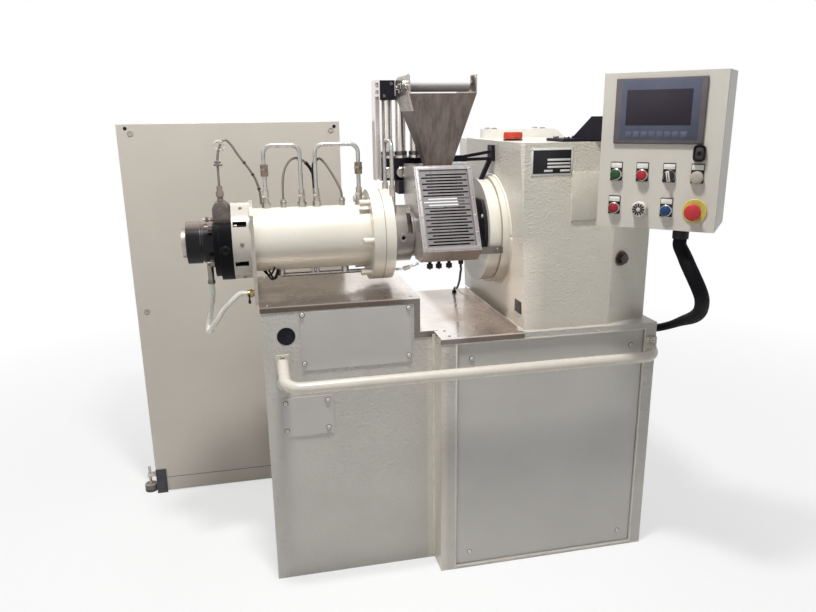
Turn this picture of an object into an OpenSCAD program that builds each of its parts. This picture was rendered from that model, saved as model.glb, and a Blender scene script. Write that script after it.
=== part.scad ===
// Cold-feed rubber extruder: welded base, screw barrel with die head, slotted feed guard, hopper,
// gearbox, operator panel and control cabinet. Millimetres, X along the machine (head at -X),
// Y to the back, Z up, origin on the floor under the middle of the base.

/* [Base] */
// overall length of the machine base
base_len = 1150; // [1000:10:1300]
// length of the narrow part under the barrel
narrow_len = 486; // [420:2:540]
// depth of the narrow part
narrow_w = 390; // [340:10:440]
// depth of the wide part under the gearbox
wide_w = 546; // [480:2:620]
// height of the wide part, top face
base_h = 744; // [680:2:800]
// height of the narrow part, top face
narrow_h = 847; // [800:1:900]
// distance from the base end to the riser of the tray
riser_at = 442; // [400:2:470]

/* [Barrel and head] */
// height of the screw axis over the top of the narrow part
axis_up = 155; // [148:1:200]
// radius of the jacketed barrel
barrel_r = 91; // [70:1:110]
// radius of the barrel flanges
flange_r = 134; // [115:1:145]
// radius of the die head
head_r = 110; // [95:1:125]
// radius of the die nozzle
nozzle_r = 60; // [45:1:75]
// radius of the screw bore
bore_r = 22; // [15:1:28]
// radius of the die opening
die_r = 12; // [5:1:20]

/* [Feed unit] */
// width of the slotted guard along the machine
guard_w = 172; // [150:2:200]
// number of slots in the guard face
slot_n = 24; // [12:2:30]
// sheet thickness of guard and hopper
sheet = 2; // [1:0.5:3]
// width of the hopper mouth
mouth_w = 195; // [160:5:220]
// diameter of the guide roller
roller_d = 50; // [30:1:60]

/* [Gearbox] */
// height of the gearbox housing
gear_h = 526; // [480:2:560]
// radius of the output flange
ring_r = 164; // [150:1:180]

/* [Operator panel] */
// turn of the panel towards the operator, degrees
panel_turn = 45; // [20:1:60]
// panel width
panel_w = 290; // [260:5:340]
// panel height
panel_h = 380; // [340:5:420]
// panel depth
panel_d = 112; // [80:2:140]

/* [Cabinet] */
// width of the control cabinet
cab_w = 726; // [600:2:800]
// height of the control cabinet over the floor
cab_h = 1328; // [1200:2:1500]
// depth of the control cabinet
cab_d = 350; // [300:10:400]

/* [Hidden] */
$fn = 48;
bx0 = -base_len / 2;                 // left end of the base
bx1 = base_len / 2;                  // right end of the base
axis_z = narrow_h + axis_up;         // height of the screw axis
step_x = bx0 + narrow_len;           // where the base widens
riser_x = bx0 + riser_at;            // riser of the stepped tray
tray_t = 2;                          // tray sheet
tray_lip = 15;                       // hanging edge of the tray
tray_x1 = 156;                       // right end of the lower tray deck
deck_hi = narrow_h + tray_t;         // top of the upper deck
deck_lo = base_h + tray_t;           // top of the lower deck
cover_t = 3;                         // cover plates
panel_in = 10;                       // recess of the large front panel
plate_x1 = bx0 - tray_t;             // support plate stands against the end of the base
plate_t = 10;
plate_x0 = plate_x1 - plate_t;
barrel_x1 = -246;                    // barrel meets its flange
seam_x = -212;                       // seam between the two flanges
neck_x0 = -182;                      // feed casting meets its flange
neck_x1 = -122;
neck_r = 84;                         // feed casting before the guard
body_r = 72;                         // feed casting inside the guard
ring_x0 = 89;                        // output flange of the gearbox
ring_mid = 124;
ring_x1 = 150;
ring_r1 = ring_r - 8;                // its smaller front disc
seal_x0 = 79;                        // dark seal plate on the output flange
head_x1 = plate_x0;
head_x0 = head_x1 - 50;
dfl_x0 = head_x0 - 36;               // inner disc of the die flange
dfl2_x0 = dfl_x0 - 16;               // outer disc of the die flange
noz_x0 = dfl2_x0 - 75;               // front of the nozzle
noz_mid = noz_x0 + 42;               // groove in the nozzle
tip_x0 = noz_x0 - 13;                // front of the nozzle ring
hinge_x = dfl_x0 + 9;                // pin of the hinge lug
hinge_z = axis_z + 92;
guard_x0 = -114;
guard_x1 = guard_x0 + guard_w;
guard_fb = [-175, axis_z - 32];      // guard section, y and z: front bottom
guard_ft = [-58, axis_z + 201];      // front top
guard_rt = [80, guard_ft[1]];        // rear top
guard_bt = [-135, axis_z - 67];      // bottom fold
guard_sz = axis_z + 96;              // lower edge of the rear sheet
slope = atan2(guard_ft[1] - guard_fb[1], guard_ft[0] - guard_fb[0]);
slope_len = norm(guard_ft - guard_fb);
hop_x = -35;                         // middle of the hopper
hop_z0 = guard_ft[1];                // hopper stands on the guard
hop_z1 = hop_z0 + 201;
hop_y0 = -95;                        // hopper mouth, front
hop_y1 = 105;
hop_by = 45;                         // foot, front
hop_bk = -8;                         // foot, back
hop_bx = 39;                         // half width at the foot
roll_y = -45;
roll_z = hop_z1 + 30;
axle_r = 6;
run_fit = 0.08;                      // running clearance of the axle in its side plates
gx0 = 150;                           // gearbox, left face at the axis height
gy0 = -255;
gy1 = 255;
gback = 330;                         // back of the drive housing beside the gearbox
gear_top = base_h + gear_h;
// left face of the housing leans out towards the top
function gface(z) = gx0 + 14 - 26 * (z - base_h) / gear_h;
cab_x0 = -992;
cab_y0 = 422;
pad_h = 6;                           // the cabinet stands this high on its pads
plinth_h = 59;
foot_h = 26;

// ---- shared shapes ----
module xcyl(x0, x1, r) { translate([x0, 0, axis_z]) rotate([0, 90, 0]) cylinder(r = r, h = x1 - x0); }
module box(a, b) { translate(a) cube([b[0] - a[0], b[1] - a[1], b[2] - a[2]]); }
// points on the screw axis: angle 0 looks to the operator (-Y), 90 straight up
module about(x, r, a) { translate([x, -r * cos(a), axis_z + r * sin(a)]) children(); }
module zrod(x, y, z0, z1, r) { translate([x, y, z0]) cylinder(r = r, h = z1 - z0); }
module xrod(x0, x1, y, z, r) { translate([x0, y, z]) rotate([0, 90, 0]) cylinder(r = r, h = x1 - x0); }
module yrod(x, y0, y1, z, r) { translate([x, y1, z]) rotate([90, 0, 0]) cylinder(r = r, h = y1 - y0); }
// upright plate from a y-z outline
module yz_plate(x0, x1, pts) {
  translate([x0, 0, 0]) rotate([90, 0, 90]) linear_extrude(height = x1 - x0) polygon(pts);
}
// plate from an x-z outline
module xz_plate(y0, y1, pts) {
  translate([0, y1, 0]) rotate([90, 0, 0]) linear_extrude(height = y1 - y0) polygon(pts);
}
// quarter bend: r pipe radius, b bend radius, in the x-y plane, centre at the origin
module bend(b, r, a0, a1) { rotate([0, 0, a0]) rotate_extrude(angle = a1 - a0) translate([b, 0]) circle(r = r); }

// ---- base ----
module base_frame() {
  color("#d4d4d0") difference() {
    union() {
      xz_plate(-narrow_w / 2, narrow_w / 2,
        [[bx0, 0], [step_x, 0], [step_x, base_h], [riser_x, base_h], [riser_x, narrow_h], [bx0, narrow_h]]);
      box([step_x, -wide_w / 2, 0], [bx1, wide_w / 2, base_h]);
    }
    // round hole in the front, a dark blind recess
    yrod(-510, -narrow_w / 2 - 1, -narrow_w / 2 + 40, 762, 23);
    // recess for the large panel, both long sides alike
    for (s = [-1, 1]) box([-42, s * (wide_w / 2 - panel_in / 2) - panel_in / 2 - 0.01 * (1 - s) / 2, 11],
      [537, s * (wide_w / 2 - panel_in / 2) + panel_in / 2 + 0.01 * (1 + s) / 2, 723]);
  }
}
module access_panels() {
  color("#d4d5d2") {
    for (s = [-1, 1]) translate([0, s * (wide_w / 2 - panel_in + 2), 0]) box([-40, -2, 13], [535, 2, 721]);
    box([-471, -narrow_w / 2 - cover_t, 659], [-157, -narrow_w / 2, 829]);
    box([-532, -narrow_w / 2 - cover_t, 462], [-388, -narrow_w / 2, 580]);
  }
}
rail_r = 16; rail_bend = 44; rail_x0 = -524; rail_x1 = 557; rail_y = -320; rail_z = 655; rail_tilt = 14;
module hand_rail() {
  color("#ecebe6") {
    translate([0, rail_y, rail_z]) rotate([rail_tilt, 0, 0]) difference() {
      union() {
        xrod(rail_x0 + rail_bend, rail_x1 - rail_bend, 0, 0, rail_r);
        translate([rail_x0 + rail_bend, rail_bend, 0]) bend(rail_bend, rail_r, 180, 270);
        translate([rail_x1 - rail_bend, rail_bend, 0]) bend(rail_bend, rail_r, 270, 360);
        yrod(rail_x0, rail_bend, 140, 0, rail_r);
        yrod(rail_x1, rail_bend - 10, 60, 0, rail_r);
      }
      rotate([-rail_tilt, 0, 0]) {
        box([rail_x0 - 60, -narrow_w / 2 - rail_y - 6, -90], [rail_x0 + 60, 260, 120]);
        box([rail_x1 - 60, -wide_w / 2 - rail_y - 6, -90], [rail_x1 + 60, 260, 120]);
      }
    }
    box([rail_x0 - 18, -narrow_w / 2 - 6, 664], [rail_x0 + 18, -narrow_w / 2, 710]);
    box([rail_x1 - 18, -wide_w / 2 - 6, 648], [rail_x1 + 18, -wide_w / 2, 700]);
  }
}
module drip_tray() {
  nw = narrow_w / 2 + tray_t; ww = wide_w / 2 + tray_t; x0 = bx0 - tray_t;
  color("#b9b4ae") difference() {
    union() {
      // upper deck with its hanging edges
      box([x0, -nw, narrow_h - tray_lip], [riser_x + tray_t, nw, deck_hi]);
      // riser with front and back bands
      box([riser_x - tray_lip, -nw, base_h - tray_lip], [riser_x + tray_t, nw, deck_hi]);
      // lower deck
      box([riser_x - tray_lip, -nw, base_h - tray_lip], [step_x, nw, deck_lo]);
      box([step_x - tray_t, -ww, base_h - tray_lip], [tray_x1, ww, deck_lo]);
      // folded strip along the gearbox
      box([gx0 - 10, -wide_w / 2 + 20, deck_lo], [gx0 - 8, wide_w / 2 - 20, deck_lo + 12]);
      box([gx0 - 36, -wide_w / 2 + 20, deck_lo], [gx0 - 8, wide_w / 2 - 20, deck_lo + tray_t]);
    }
    // the base fills the inside
    box([bx0, -narrow_w / 2, 0], [riser_x, narrow_w / 2, narrow_h]);
    box([riser_x - 100, -narrow_w / 2, 0], [step_x, narrow_w / 2, base_h]);
    box([step_x, -wide_w / 2, 0], [tray_x1 + 1, wide_w / 2, base_h]);
    // room for the gearbox foot
    box([gx0 - 6, gy0 - 6, base_h - 1], [tray_x1 + 1, gy1 + 6, deck_lo + 20]);
  }
}

// ---- barrel and head ----
module barrel_support_plate() {
  color("#dcdad2") yz_plate(plate_x0, plate_x1, [[-106, narrow_h - tray_lip], [106, narrow_h - tray_lip],
    [106, axis_z + 84], [84, axis_z + 106], [-84, axis_z + 106], [-106, axis_z + 84]]);
}
module barrel() {
  color("#e9e6da") {
    xcyl(plate_x1, barrel_x1, barrel_r);
    xcyl(barrel_x1, seam_x, flange_r);
    for (a = [-60 : 60 : 240]) about(barrel_x1 - 20, flange_r - 17, a) rotate([0, 90, 0]) cylinder(r = 9, h = 21);
  }
}
module feed_casting() {
  color("#dedace") difference() {
    union() {
      xcyl(seam_x, neck_x0, flange_r);
      xcyl(neck_x0, neck_x1, neck_r);
      xcyl(neck_x1, seal_x0, body_r);
    }
    // feed throat under the hopper
    box([hop_x - hop_bx + 5, -bore_r, axis_z - bore_r], [hop_x + hop_bx - 5, bore_r, axis_z + 90]);
    // saddle cut towards the guard and tapped hole
    box([neck_x1 - 16, -90, axis_z + 6], [neck_x1 + 1, -40, axis_z + 66]);
    about(neck_x1 - 30, 70, -2) rotate([90, 0, 0]) cylinder(r = 5.5, h = 20);
  }
}
pock_a = [-27, 33, 93, 153, 213, 273];
module die_head_ring() {
  color("#e4e1d6") difference() {
    xcyl(head_x0, head_x1, head_r);
    for (a = pock_a) translate([0, 0, axis_z]) rotate([-a, 0, 0])
      box([head_x0 + 4, -head_r - 1, -8], [head_x1 - 9, -head_r + 20, 8]);
  }
}
module die_flange() {
  color("#26262b") difference() {
    union() {
      xcyl(dfl_x0, head_x0, head_r + 1);
      xcyl(dfl2_x0, dfl_x0, head_r - 10);
      // clamp screw in the rim
      yrod(dfl_x0 + 16, -head_r - 14, -head_r + 12, axis_z - 6, 12);
    }
    // flat at the top for the hinge lug
    box([dfl2_x0 - 1, -130, axis_z + 58], [head_x0 + 1, 130, axis_z + 130]);
  }
}
module die_nozzle() {
  color("#222228") difference() {
    union() {
      xcyl(noz_x0, noz_mid - 3, nozzle_r);
      xcyl(noz_mid - 3, noz_mid + 3, nozzle_r - 4);
      xcyl(noz_mid + 3, dfl2_x0, nozzle_r - 1);
    }
    xcyl(noz_x0 - 1, dfl2_x0 + 1, die_r);
  }
}
module nozzle_ring() {
  color("#b8b6b2") difference() { xcyl(tip_x0, noz_x0, 42); xcyl(tip_x0 - 1, noz_x0 + 1, die_r); }
}
module head_hinge_lug() {
  color("#8b8784") {
    difference() {
      union() {
        box([dfl2_x0 + 3, -34, axis_z + 58], [head_x0, 34, axis_z + 76]);
        yrod(hinge_x, -34, 34, hinge_z, 24);
        box([hinge_x - 24, -34, axis_z + 70], [hinge_x + 24, 34, hinge_z]);
      }
      yrod(hinge_x, -40, 40, hinge_z, 7);
    }
  }
}
nut_a = [-38, 38, 142, 218];
module die_nuts() {
  color("#8f8b88") for (a = nut_a) about(dfl2_x0, 82, a) rotate([0, -90, 0]) {
    cylinder(r = 11, h = 12, $fn = 6);
    translate([0, 0, 12]) cylinder(r = 6, h = 8);
  }
}

// ---- cooling tubes over the barrel ----
tube_r = 6; tube_b = 24;
tube_top = axis_z + 266;
hoop_x = [-537, -435, -392, -267];   // legs of the two long loops
hoop3_x = neck_x0 + 4; hoop3_y = 55; // short loop behind the feed flange
module hoop(w) { // upright hoop in the x-z plane, legs down to z = 0, left leg at x = 0
  translate([0, 0, 0]) cylinder(r = tube_r, h = 100);
  translate([w, 0, 0]) cylinder(r = tube_r, h = 100);
  translate([tube_b, 0, 100]) rotate([90, 0, 0]) bend(tube_b, tube_r, 90, 180);
  translate([w - tube_b, 0, 100]) rotate([90, 0, 0]) bend(tube_b, tube_r, 0, 90);
  xrod(tube_b, w - tube_b, 0, 100 + tube_b, tube_r);
}
hoop_z = tube_top - 100 - tube_b;
seat_z = axis_z + barrel_r - 6;
under_z = axis_z - 109;              // return pipe under the barrel
module cooling_tubes() {
  color("#8d8f90") {
    translate([hoop_x[0], 0, hoop_z]) hoop(hoop_x[1] - hoop_x[0]);
    translate([hoop_x[2], 0, hoop_z]) hoop(hoop_x[3] - hoop_x[2]);
    translate([hoop3_x, -hoop3_y, hoop_z + 6]) rotate([0, 0, 90]) hoop(2 * hoop3_y);
    // return pipe under the barrel
    difference() {
      union() {
        xrod(-505, barrel_x1 - 10, 0, under_z, 6);
        for (x = [-505, -316]) zrod(x, 0, under_z, under_z + 37, 11);
        for (x = [-412, -398]) zrod(x, 0, under_z, under_z + 37, 5);
      }
      xcyl(plate_x1, barrel_x1, barrel_r);
    }
  }
}
module tube_fittings() {
  color("#9a8f86") {
    // couplings higher up on the outer legs
    for (x = [hoop_x[0], hoop_x[3]]) difference() {
      translate([x, 0, hoop_z + 38]) cylinder(r = 11, h = 34, $fn = 6);
      zrod(x, 0, hoop_z + 30, hoop_z + 80, tube_r + 0.1);
    }
    // sensor fittings between the loops
    for (x = lead_x) difference() {
      zrod(x, 0, seat_z, lead_z, 8);
      xcyl(plate_x1, barrel_x1, barrel_r);
    }
    for (x = hoop_x) difference() {
      union() {
        zrod(x, 0, seat_z, hoop_z, 9);
        translate([x, 0, seat_z]) cylinder(r = 13, h = 20, $fn = 6);
      }
      xcyl(plate_x1, barrel_x1, barrel_r);
    }
    for (y = [-hoop3_y, hoop3_y]) difference() {
      zrod(hoop3_x, y, axis_z + 40, hoop_z + 6, 9);
      xcyl(barrel_x1 - 1, neck_x0, flange_r);
      xcyl(neck_x0 - 1, neck_x1, neck_r);
    }
  }
}

// ---- cables and hoses: swept tubes along chosen points ----
function unit(v) = v / norm(v);
function tangent(p, i) = unit(p[min(i + 1, len(p) - 1)] - p[max(i - 1, 0)]);
function side(t, up) = unit(cross(t, up));
module swept(p, r, n, up) {
  pts = [for (i = [0 : len(p) - 1]) let (t = tangent(p, i), s = side(t, up), u = cross(s, t))
    for (k = [0 : n - 1]) p[i] + (is_list(r) ? r[i] : r) * (cos(360 * k / n) * s + sin(360 * k / n) * u)];
  m = len(p);
  faces = concat(
    [[for (k = [0 : n - 1]) k]],
    [for (i = [0 : m - 2]) for (k = [0 : n - 1]) [i * n + k, (i + 1) * n + k, (i + 1) * n + (k + 1) % n, i * n + (k + 1) % n]],
    [[for (k = [n - 1 : -1 : 0]) (m - 1) * n + k]]);
  polyhedron(points = pts, faces = faces, convexity = 6);
}
// routes, heights counted from the screw axis
lead_x = [-488, -318];
lead_z = axis_z + 114;
sensor_pts = [[-664, 0, 158], [-664, 0, 200], [-662, 0, 240], [-652, 0, 272], [-638, 4, 284], [-622, 8, 268],
  [-608, 12, 244], [-590, 14, 218], [-573, 16, 192], [-560, 18, 164], [-553, 18, 134], [-551, 18, 100]];
front_lead_pts = [[-488, 0, 114], [-488, 0, 140], [-486, 2, 168], [-480, 5, 196], [-466, 8, 220], [-448, 12, 229],
  [-426, 20, 222], [-406, 32, 200], [-392, 44, 168], [-384, 54, 132], [-380, 62, 96], [-378, 67.4, 65.6]];
rear_lead_pts = [[-318, 0, 114], [-320, 0, 132], [-330, 3, 156], [-346, 8, 186], [-364, 14, 214], [-380, 20, 226],
  [-394, 22, 212], [-398, 22, 186], [-397, 20, 160], [-396, 20, 130], [-396, 20, 90]];
hose_pts = [[-706, -20, -116], [-706, -20, -152], [-714, -20, -192], [-722, -22, -227], [-726, -34, -250],
  [-722, -54, -252], [-712, -70, -237], [-696, -80, -212], [-676, -84, -182], [-654, -84, -160],
  [-628, -80, -140], [-607, -80, -140]];
guard_pts = [[12, -118, -81], [12, -118, -90], [19, -98, -100], [28, -60, -125], [44, 0, -158], [57, 60, -190],
  [70, 120, -215], [83, 180, -230], [91, 214, -236], [92, 224, -242], [92, 224, -251]];
conduit_pts = [[492, -474, 30], [492, -474, 12], [498, -488, -12], [499, -508, -34], [509, -522, -64],
  [526, -524, -96], [545, -512, -124], [567, -484, -154], [590, -444, -184], [610, -390, -214],
  [626, -318, -246], [636, -246, -280], [640, -180, -308], [632, -136, -322], [606, -120, -326], [575, -120, -326]];
conduit_r = [17, 17, 17.5, 18, 18.5, 19, 19, 18.5, 17.5, 15.5, 13, 12.3, 12.3, 12, 12, 12];
module from_axis() { translate([0, 0, axis_z]) children(); }
module sensor_cable() { color("#55524e") from_axis() swept(sensor_pts, 3.5, 8, [0, 1, 0]); }
module front_barrel_lead() { color("#8a8580") from_axis() swept(front_lead_pts, 3.5, 8, [0, 1, 0]); }
module rear_barrel_lead() { color("#8a8580") from_axis() swept(rear_lead_pts, 3.5, 8, [0, 1, 0]); }
module hose_elbow() {
  color("#b08d4f") {
    // outlet under the nozzle
    difference() {
      zrod(-706, -20, axis_z - 116, axis_z - 40, 9);
      xcyl(noz_mid, dfl2_x0, nozzle_r - 1);
    }
    // tail on the support plate
    xrod(-607, plate_x0, -80, axis_z - 140, 9);
    translate([-600, -80, axis_z - 140]) rotate([0, 90, 0]) cylinder(r = 12, h = 8, $fn = 6);
  }
}
module drain_hose() { color("#c9c4b8") from_axis() swept(hose_pts, 8, 10, [0, 1, 0]); }
module panel_conduit() { color("#1d1d22") from_axis() swept(conduit_pts, conduit_r, 12, [0, 1, 0]); }

// ---- feed unit ----
guard_out = [guard_bt, guard_fb, guard_ft, guard_rt, [guard_rt[0], guard_sz], [guard_rt[0] - sheet, guard_sz],
  [guard_rt[0] - sheet, guard_rt[1] - sheet], [guard_ft[0] + 1.2, guard_ft[1] - sheet],
  [guard_fb[0] + sheet + 0.3, guard_fb[1] + 0.3], [guard_bt[0] + 1, guard_bt[1] + sheet],
  [-66, guard_bt[1] + sheet], [-66, guard_bt[1]]];
guard_side = [guard_bt, guard_fb, guard_ft, guard_rt, [guard_rt[0], guard_sz], [-66, guard_bt[1]]];
slot_h = 4.6; slot_w = 122;
module slotted_guard() {
  color("#bdbab6") difference() {
    union() {
      yz_plate(guard_x0, guard_x1, guard_out);
      for (x = [guard_x0, guard_x1 - sheet]) difference() {
        yz_plate(x, x + sheet, guard_side);
        xcyl(x - 1, x + sheet + 1, body_r + 3);
      }
      // raised rim on the face
      translate([guard_x0, guard_fb[0], guard_fb[1]]) rotate([slope, 0, 0]) difference() {
        box([1, 1, -1], [guard_w - 1, slope_len - 1, 3]);
        box([12, 12, -2], [guard_w - 12, slope_len - 12, 4]);
      }
    }
    // staggered slots through the face
    translate([guard_x0, guard_fb[0], guard_fb[1]]) rotate([slope, 0, 0])
      for (i = [0 : slot_n - 1]) translate([18 + (i % 2) * 14, 19 + i * (slope_len - 40) / slot_n, -5])
        cube([slot_w, slot_h, 6]);
    // passage for the rubber strip
    box([hop_x - hop_bx + sheet, -hop_by + sheet, hop_z0 - 5], [hop_x + hop_bx - sheet, hop_bk - sheet, hop_z0 + 1]);
  }
}
module guard_knobs() {
  color("#1c1c20") for (x = [-82, -55, -24]) {
    zrod(x, -118, guard_bt[1] - 10, guard_bt[1], 5);
    zrod(x, -118, guard_bt[1] - 22, guard_bt[1] - 10, 9);
  }
}
bar_z = axis_z - 47;                 // strap from the guard to the output flange
module guard_bar() {
  color("#9b9894") difference() {
    union() {
      box([guard_x1, -162, bar_z], [ring_mid + 2, -156, bar_z + 20]);
      box([ring_x0 + 6, -157, bar_z], [ring_mid + 2, -135, bar_z + 20]);
    }
    xcyl(ring_x0 - 1, ring_mid + 1, ring_r1);
    xcyl(ring_mid, ring_mid + 20, ring_r);
  }
}
// four-sided funnel without hull: slanted sheets from outlines
hop_out = [[hop_x - hop_bx, hop_z0], [hop_x + hop_bx, hop_z0], [hop_x + mouth_w / 2, hop_z1], [hop_x - mouth_w / 2, hop_z1]];
hop_in = [[hop_x - hop_bx + sheet, hop_z0 - 1], [hop_x + hop_bx - sheet, hop_z0 - 1],
  [hop_x + mouth_w / 2 - sheet, hop_z1 + 1], [hop_x - mouth_w / 2 + sheet, hop_z1 + 1]];
function hop_wall(z) = hop_x + hop_bx + (mouth_w / 2 - hop_bx) * (z - hop_z0) / (hop_z1 - hop_z0);
hop_yz = [[-hop_by, hop_z0], [hop_bk, hop_z0], [hop_y1, hop_z1], [hop_y0, hop_z1]];
hop_yz_in = [[-hop_by + sheet, hop_z0 - 1], [hop_bk - sheet, hop_z0 - 1], [hop_y1 - sheet, hop_z1 + 1], [hop_y0 + sheet, hop_z1 + 1]];
module hopper() {
  color("#8f8782") difference() {
    intersection() { xz_plate(hop_y0 - 5, hop_y1 + 5, hop_out); yz_plate(hop_x - mouth_w, hop_x + mouth_w, hop_yz); }
    intersection() { xz_plate(hop_y0 - 5, hop_y1 + 5, hop_in); yz_plate(hop_x - mouth_w, hop_x + mouth_w, hop_yz_in); }
  }
}
side_yz = [[hop_y0, hop_z1], [hop_y1 - 5, hop_z1], [hop_y1 - 5, hop_z1 + 40], [60, hop_z1 + 50], [hop_y0, hop_z1 + 50]];
flap_h = 47;                         // flap of the left side plate on the funnel wall
flap_x = hop_x - mouth_w / 2;
module roller_side_plates() {
  color("#c4bfb8") for (s = [-1, 1]) difference() {
    yz_plate(hop_x + s * (mouth_w / 2 - 1.5) - 1.5, hop_x + s * (mouth_w / 2 - 1.5) + 1.5, side_yz);
    translate([0, roll_y, roll_z]) rotate([0, 90, 0]) cylinder(r = axle_r + run_fit, h = 400, center = true);
  }
  color("#c4bfb8") intersection() {
    xz_plate(hop_y0, hop_y1, [[flap_x, hop_z1 + 8], [flap_x - 3, hop_z1 + 8], [flap_x - 3, hop_z1 - 4],
      [flap_x + 7.5, hop_z1 - flap_h], [2 * hop_x - hop_wall(hop_z1 - flap_h), hop_z1 - flap_h], [flap_x, hop_z1]]);
    yz_plate(flap_x - 5, flap_x + 20, [[hop_y0, hop_z1 + 9], [hop_y0 + 9, hop_z1 - flap_h - 1], [56, hop_z1 - flap_h - 1],
      [88, hop_z1 + 9]]);
  }
}
module guide_roller() {
  color("#efece4") {
    xrod(hop_x - mouth_w / 2 + 9, hop_x + mouth_w / 2 - 12, roll_y, roll_z, roller_d / 2);
    xrod(hop_x - mouth_w / 2 - 8, hop_x + mouth_w / 2 + 6, roll_y, roll_z, axle_r);
  }
}
col_y = 127; col_x = [-155, -113, -67]; col_r = 16;
col_z0 = guard_ft[1] + 15;           // columns stand on the lower block
col_z1 = hop_z1 - 13;                // lower face of the bearing block
col_e = -180;                        // left end of both blocks
module feed_columns() {
  color("#c8c4be") {
    for (i = [0 : 2]) {
      zrod(col_x[i], col_y, col_z0, i < 1 ? col_z1 : col_z1 + 12, col_r);
      zrod(col_x[i], col_y, col_z0, col_z0 + 7, col_r + 5);
    }
    // folded upright at the left, notched beside the bearing block
    difference() {
      box([col_e - 18, col_y - 27, col_z0 - 66], [col_e, col_y + 20, col_z1 + 57]);
      box([col_e - 15, col_y - 28, col_z0 - 67], [col_e - 3, col_y + 17, col_z1 + 10]);
      box([col_e - 14, col_y - 28, col_z1 + 18], [col_e - 4, col_y - 10, col_z1 + 28]);
      box([col_e - 14, col_y - 28, col_z1 + 36], [col_e - 4, col_y - 10, col_z1 + 50]);
    }
  }
}
module column_blocks() {
  color("#2a2a30") {
    // bearing block on the left column
    box([col_e, col_y - 24, col_z1], [col_e + 47, col_y + 20, col_z1 + 57]);
    // lower block with its arm to the guard
    box([col_e, col_y - 20, col_z0 - 68], [-48, col_y + 20, col_z0]);
    box([-130, guard_rt[0], guard_sz + 12], [-60, col_y + 20, col_z0 - 67]);
    for (x = [-159, -117]) yrod(x, col_y - 32, col_y - 19, col_z0 - 43, 17);
  }
}
arm_y = -20;                         // links from the hopper to the gearbox
module hopper_arm() {
  color("#232328") difference() {
    union() {
      box([0, arm_y - 9, hop_z0 + 8], [56, arm_y + 9, hop_z0 + 26]);
      xz_plate(arm_y - 5, arm_y + 5, [[50, hop_z0 + 18], [50, hop_z0 + 27], [gx0, hop_z0 + 42], [gx0, hop_z0 + 33]]);
      xz_plate(arm_y - 5, arm_y + 5, [[50, hop_z0 + 9], [50, hop_z0 + 18], [gx0, hop_z0 + 19], [gx0, hop_z0 + 10]]);
      box([gx0 - 22, arm_y - 18, hop_z0 + 8], [gx0, arm_y + 18, hop_z0 + 54]);
      xz_plate(arm_y - 5, arm_y + 5, [[94, axis_z + 150], [108, axis_z + 150], [136, hop_z0 + 12], [122, hop_z0 + 12]]);
    }
    xcyl(ring_x0 - 10, ring_mid, ring_r1);
    xcyl(ring_mid, gx0 + 10, ring_r);
    // slanted wall of the hopper and left face of the gearbox
    xz_plate(-60, 40, [[-20, hop_z0 - 2], [hop_wall(hop_z0 - 2), hop_z0 - 2], [hop_wall(hop_z0 + 60), hop_z0 + 60],
      [-20, hop_z0 + 60]]);
    xz_plate(-60, 40, [[gface(hop_z0 - 80), hop_z0 - 80], [gx0 + 60, hop_z0 - 80], [gx0 + 60, hop_z0 + 70],
      [gface(hop_z0 + 70), hop_z0 + 70]]);
  }
}

// ---- gearbox ----
gear_plan = [[gx0 - 12, gy0 + 10], [gx0 - 2, gy0], [425, gy0], [564, -210], [564, 210], [425, gy1], [gx0 - 2, gy1],
  [gx0 - 12, gy1 - 10]];
arc_r = 180;                         // rounded top right edge of the housing
module gearbox() {
  color("#e3e0d4") box([289, gy0 - 3, gear_top - 216], [424, gy0, gear_top - 81]);
  color("#e3e0d4") difference() {
    intersection() {
      translate([0, 0, base_h]) linear_extrude(height = gear_h) polygon(gear_plan);
      union() {
        xz_plate(gy0 - 1, gy1 + 1, [[gface(base_h), base_h], [564, base_h], [564, gear_top - arc_r],
          [564 - arc_r, gear_top - arc_r], [564 - arc_r, gear_top], [gface(gear_top), gear_top]]);
        yrod(564 - arc_r, gy0 - 1, gy1 + 1, gear_top - arc_r, arc_r);
      }
    }
    // inspection window low on the left side
    box([130, -232, base_h + 41], [163, -180, base_h + 78]);
  }
}
module gearbox_flange() {
  color("#e8e5da") difference() {
    union() { xcyl(ring_x0, ring_mid, ring_r1); xcyl(ring_mid, ring_x1 + 14, ring_r); }
    xz_plate(-200, 200, [[gface(base_h - 50), base_h - 50], [ring_x1 + 50, base_h - 50],
      [ring_x1 + 50, gear_top + 50], [gface(gear_top + 50), gear_top + 50]]);
  }
}
module seal_plate() { // round plate, cut flat above and below
  color("#1f1f24") intersection() {
    xcyl(seal_x0, ring_x0, 138);
    box([seal_x0 - 1, -140, axis_z - 36], [ring_x0 + 1, 140, axis_z + 101]);
  }
}
module drain_plug() {
  color("#4a4644") translate([457, gy0 + (457 - 425) * 45 / 139, base_h + 194]) rotate([90, 0, atan2(45, 139)]) {
    cylinder(r = 20, h = 8);
    cylinder(r = 15, h = 18, $fn = 6);
  }
}
module breather_cap() {
  color("#c8402c") {
    zrod(190, -50, gear_top + 5, gear_top + 24, 26);
    zrod(190, -50, gear_top, gear_top + 5, 23);
  }
}
module rear_drive_housing() {
  rear_top = gear_top + 27;
  color("#e9e6de") {
    difference() {
      box([225, gy1, base_h], [500, gy1 + 110, rear_top]);
      difference() {
        box([440, gy1 - 1, rear_top - 60], [501, gy1 + 111, rear_top + 1]);
        yrod(440, gy1 - 2, gy1 + 112, rear_top - 60, 60);
      }
    }
    xz_plate(gy1, gback, [[gface(base_h), base_h], [226, base_h], [226, gear_top - 2], [gface(gear_top - 2), gear_top - 2]]);
  }
}

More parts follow.
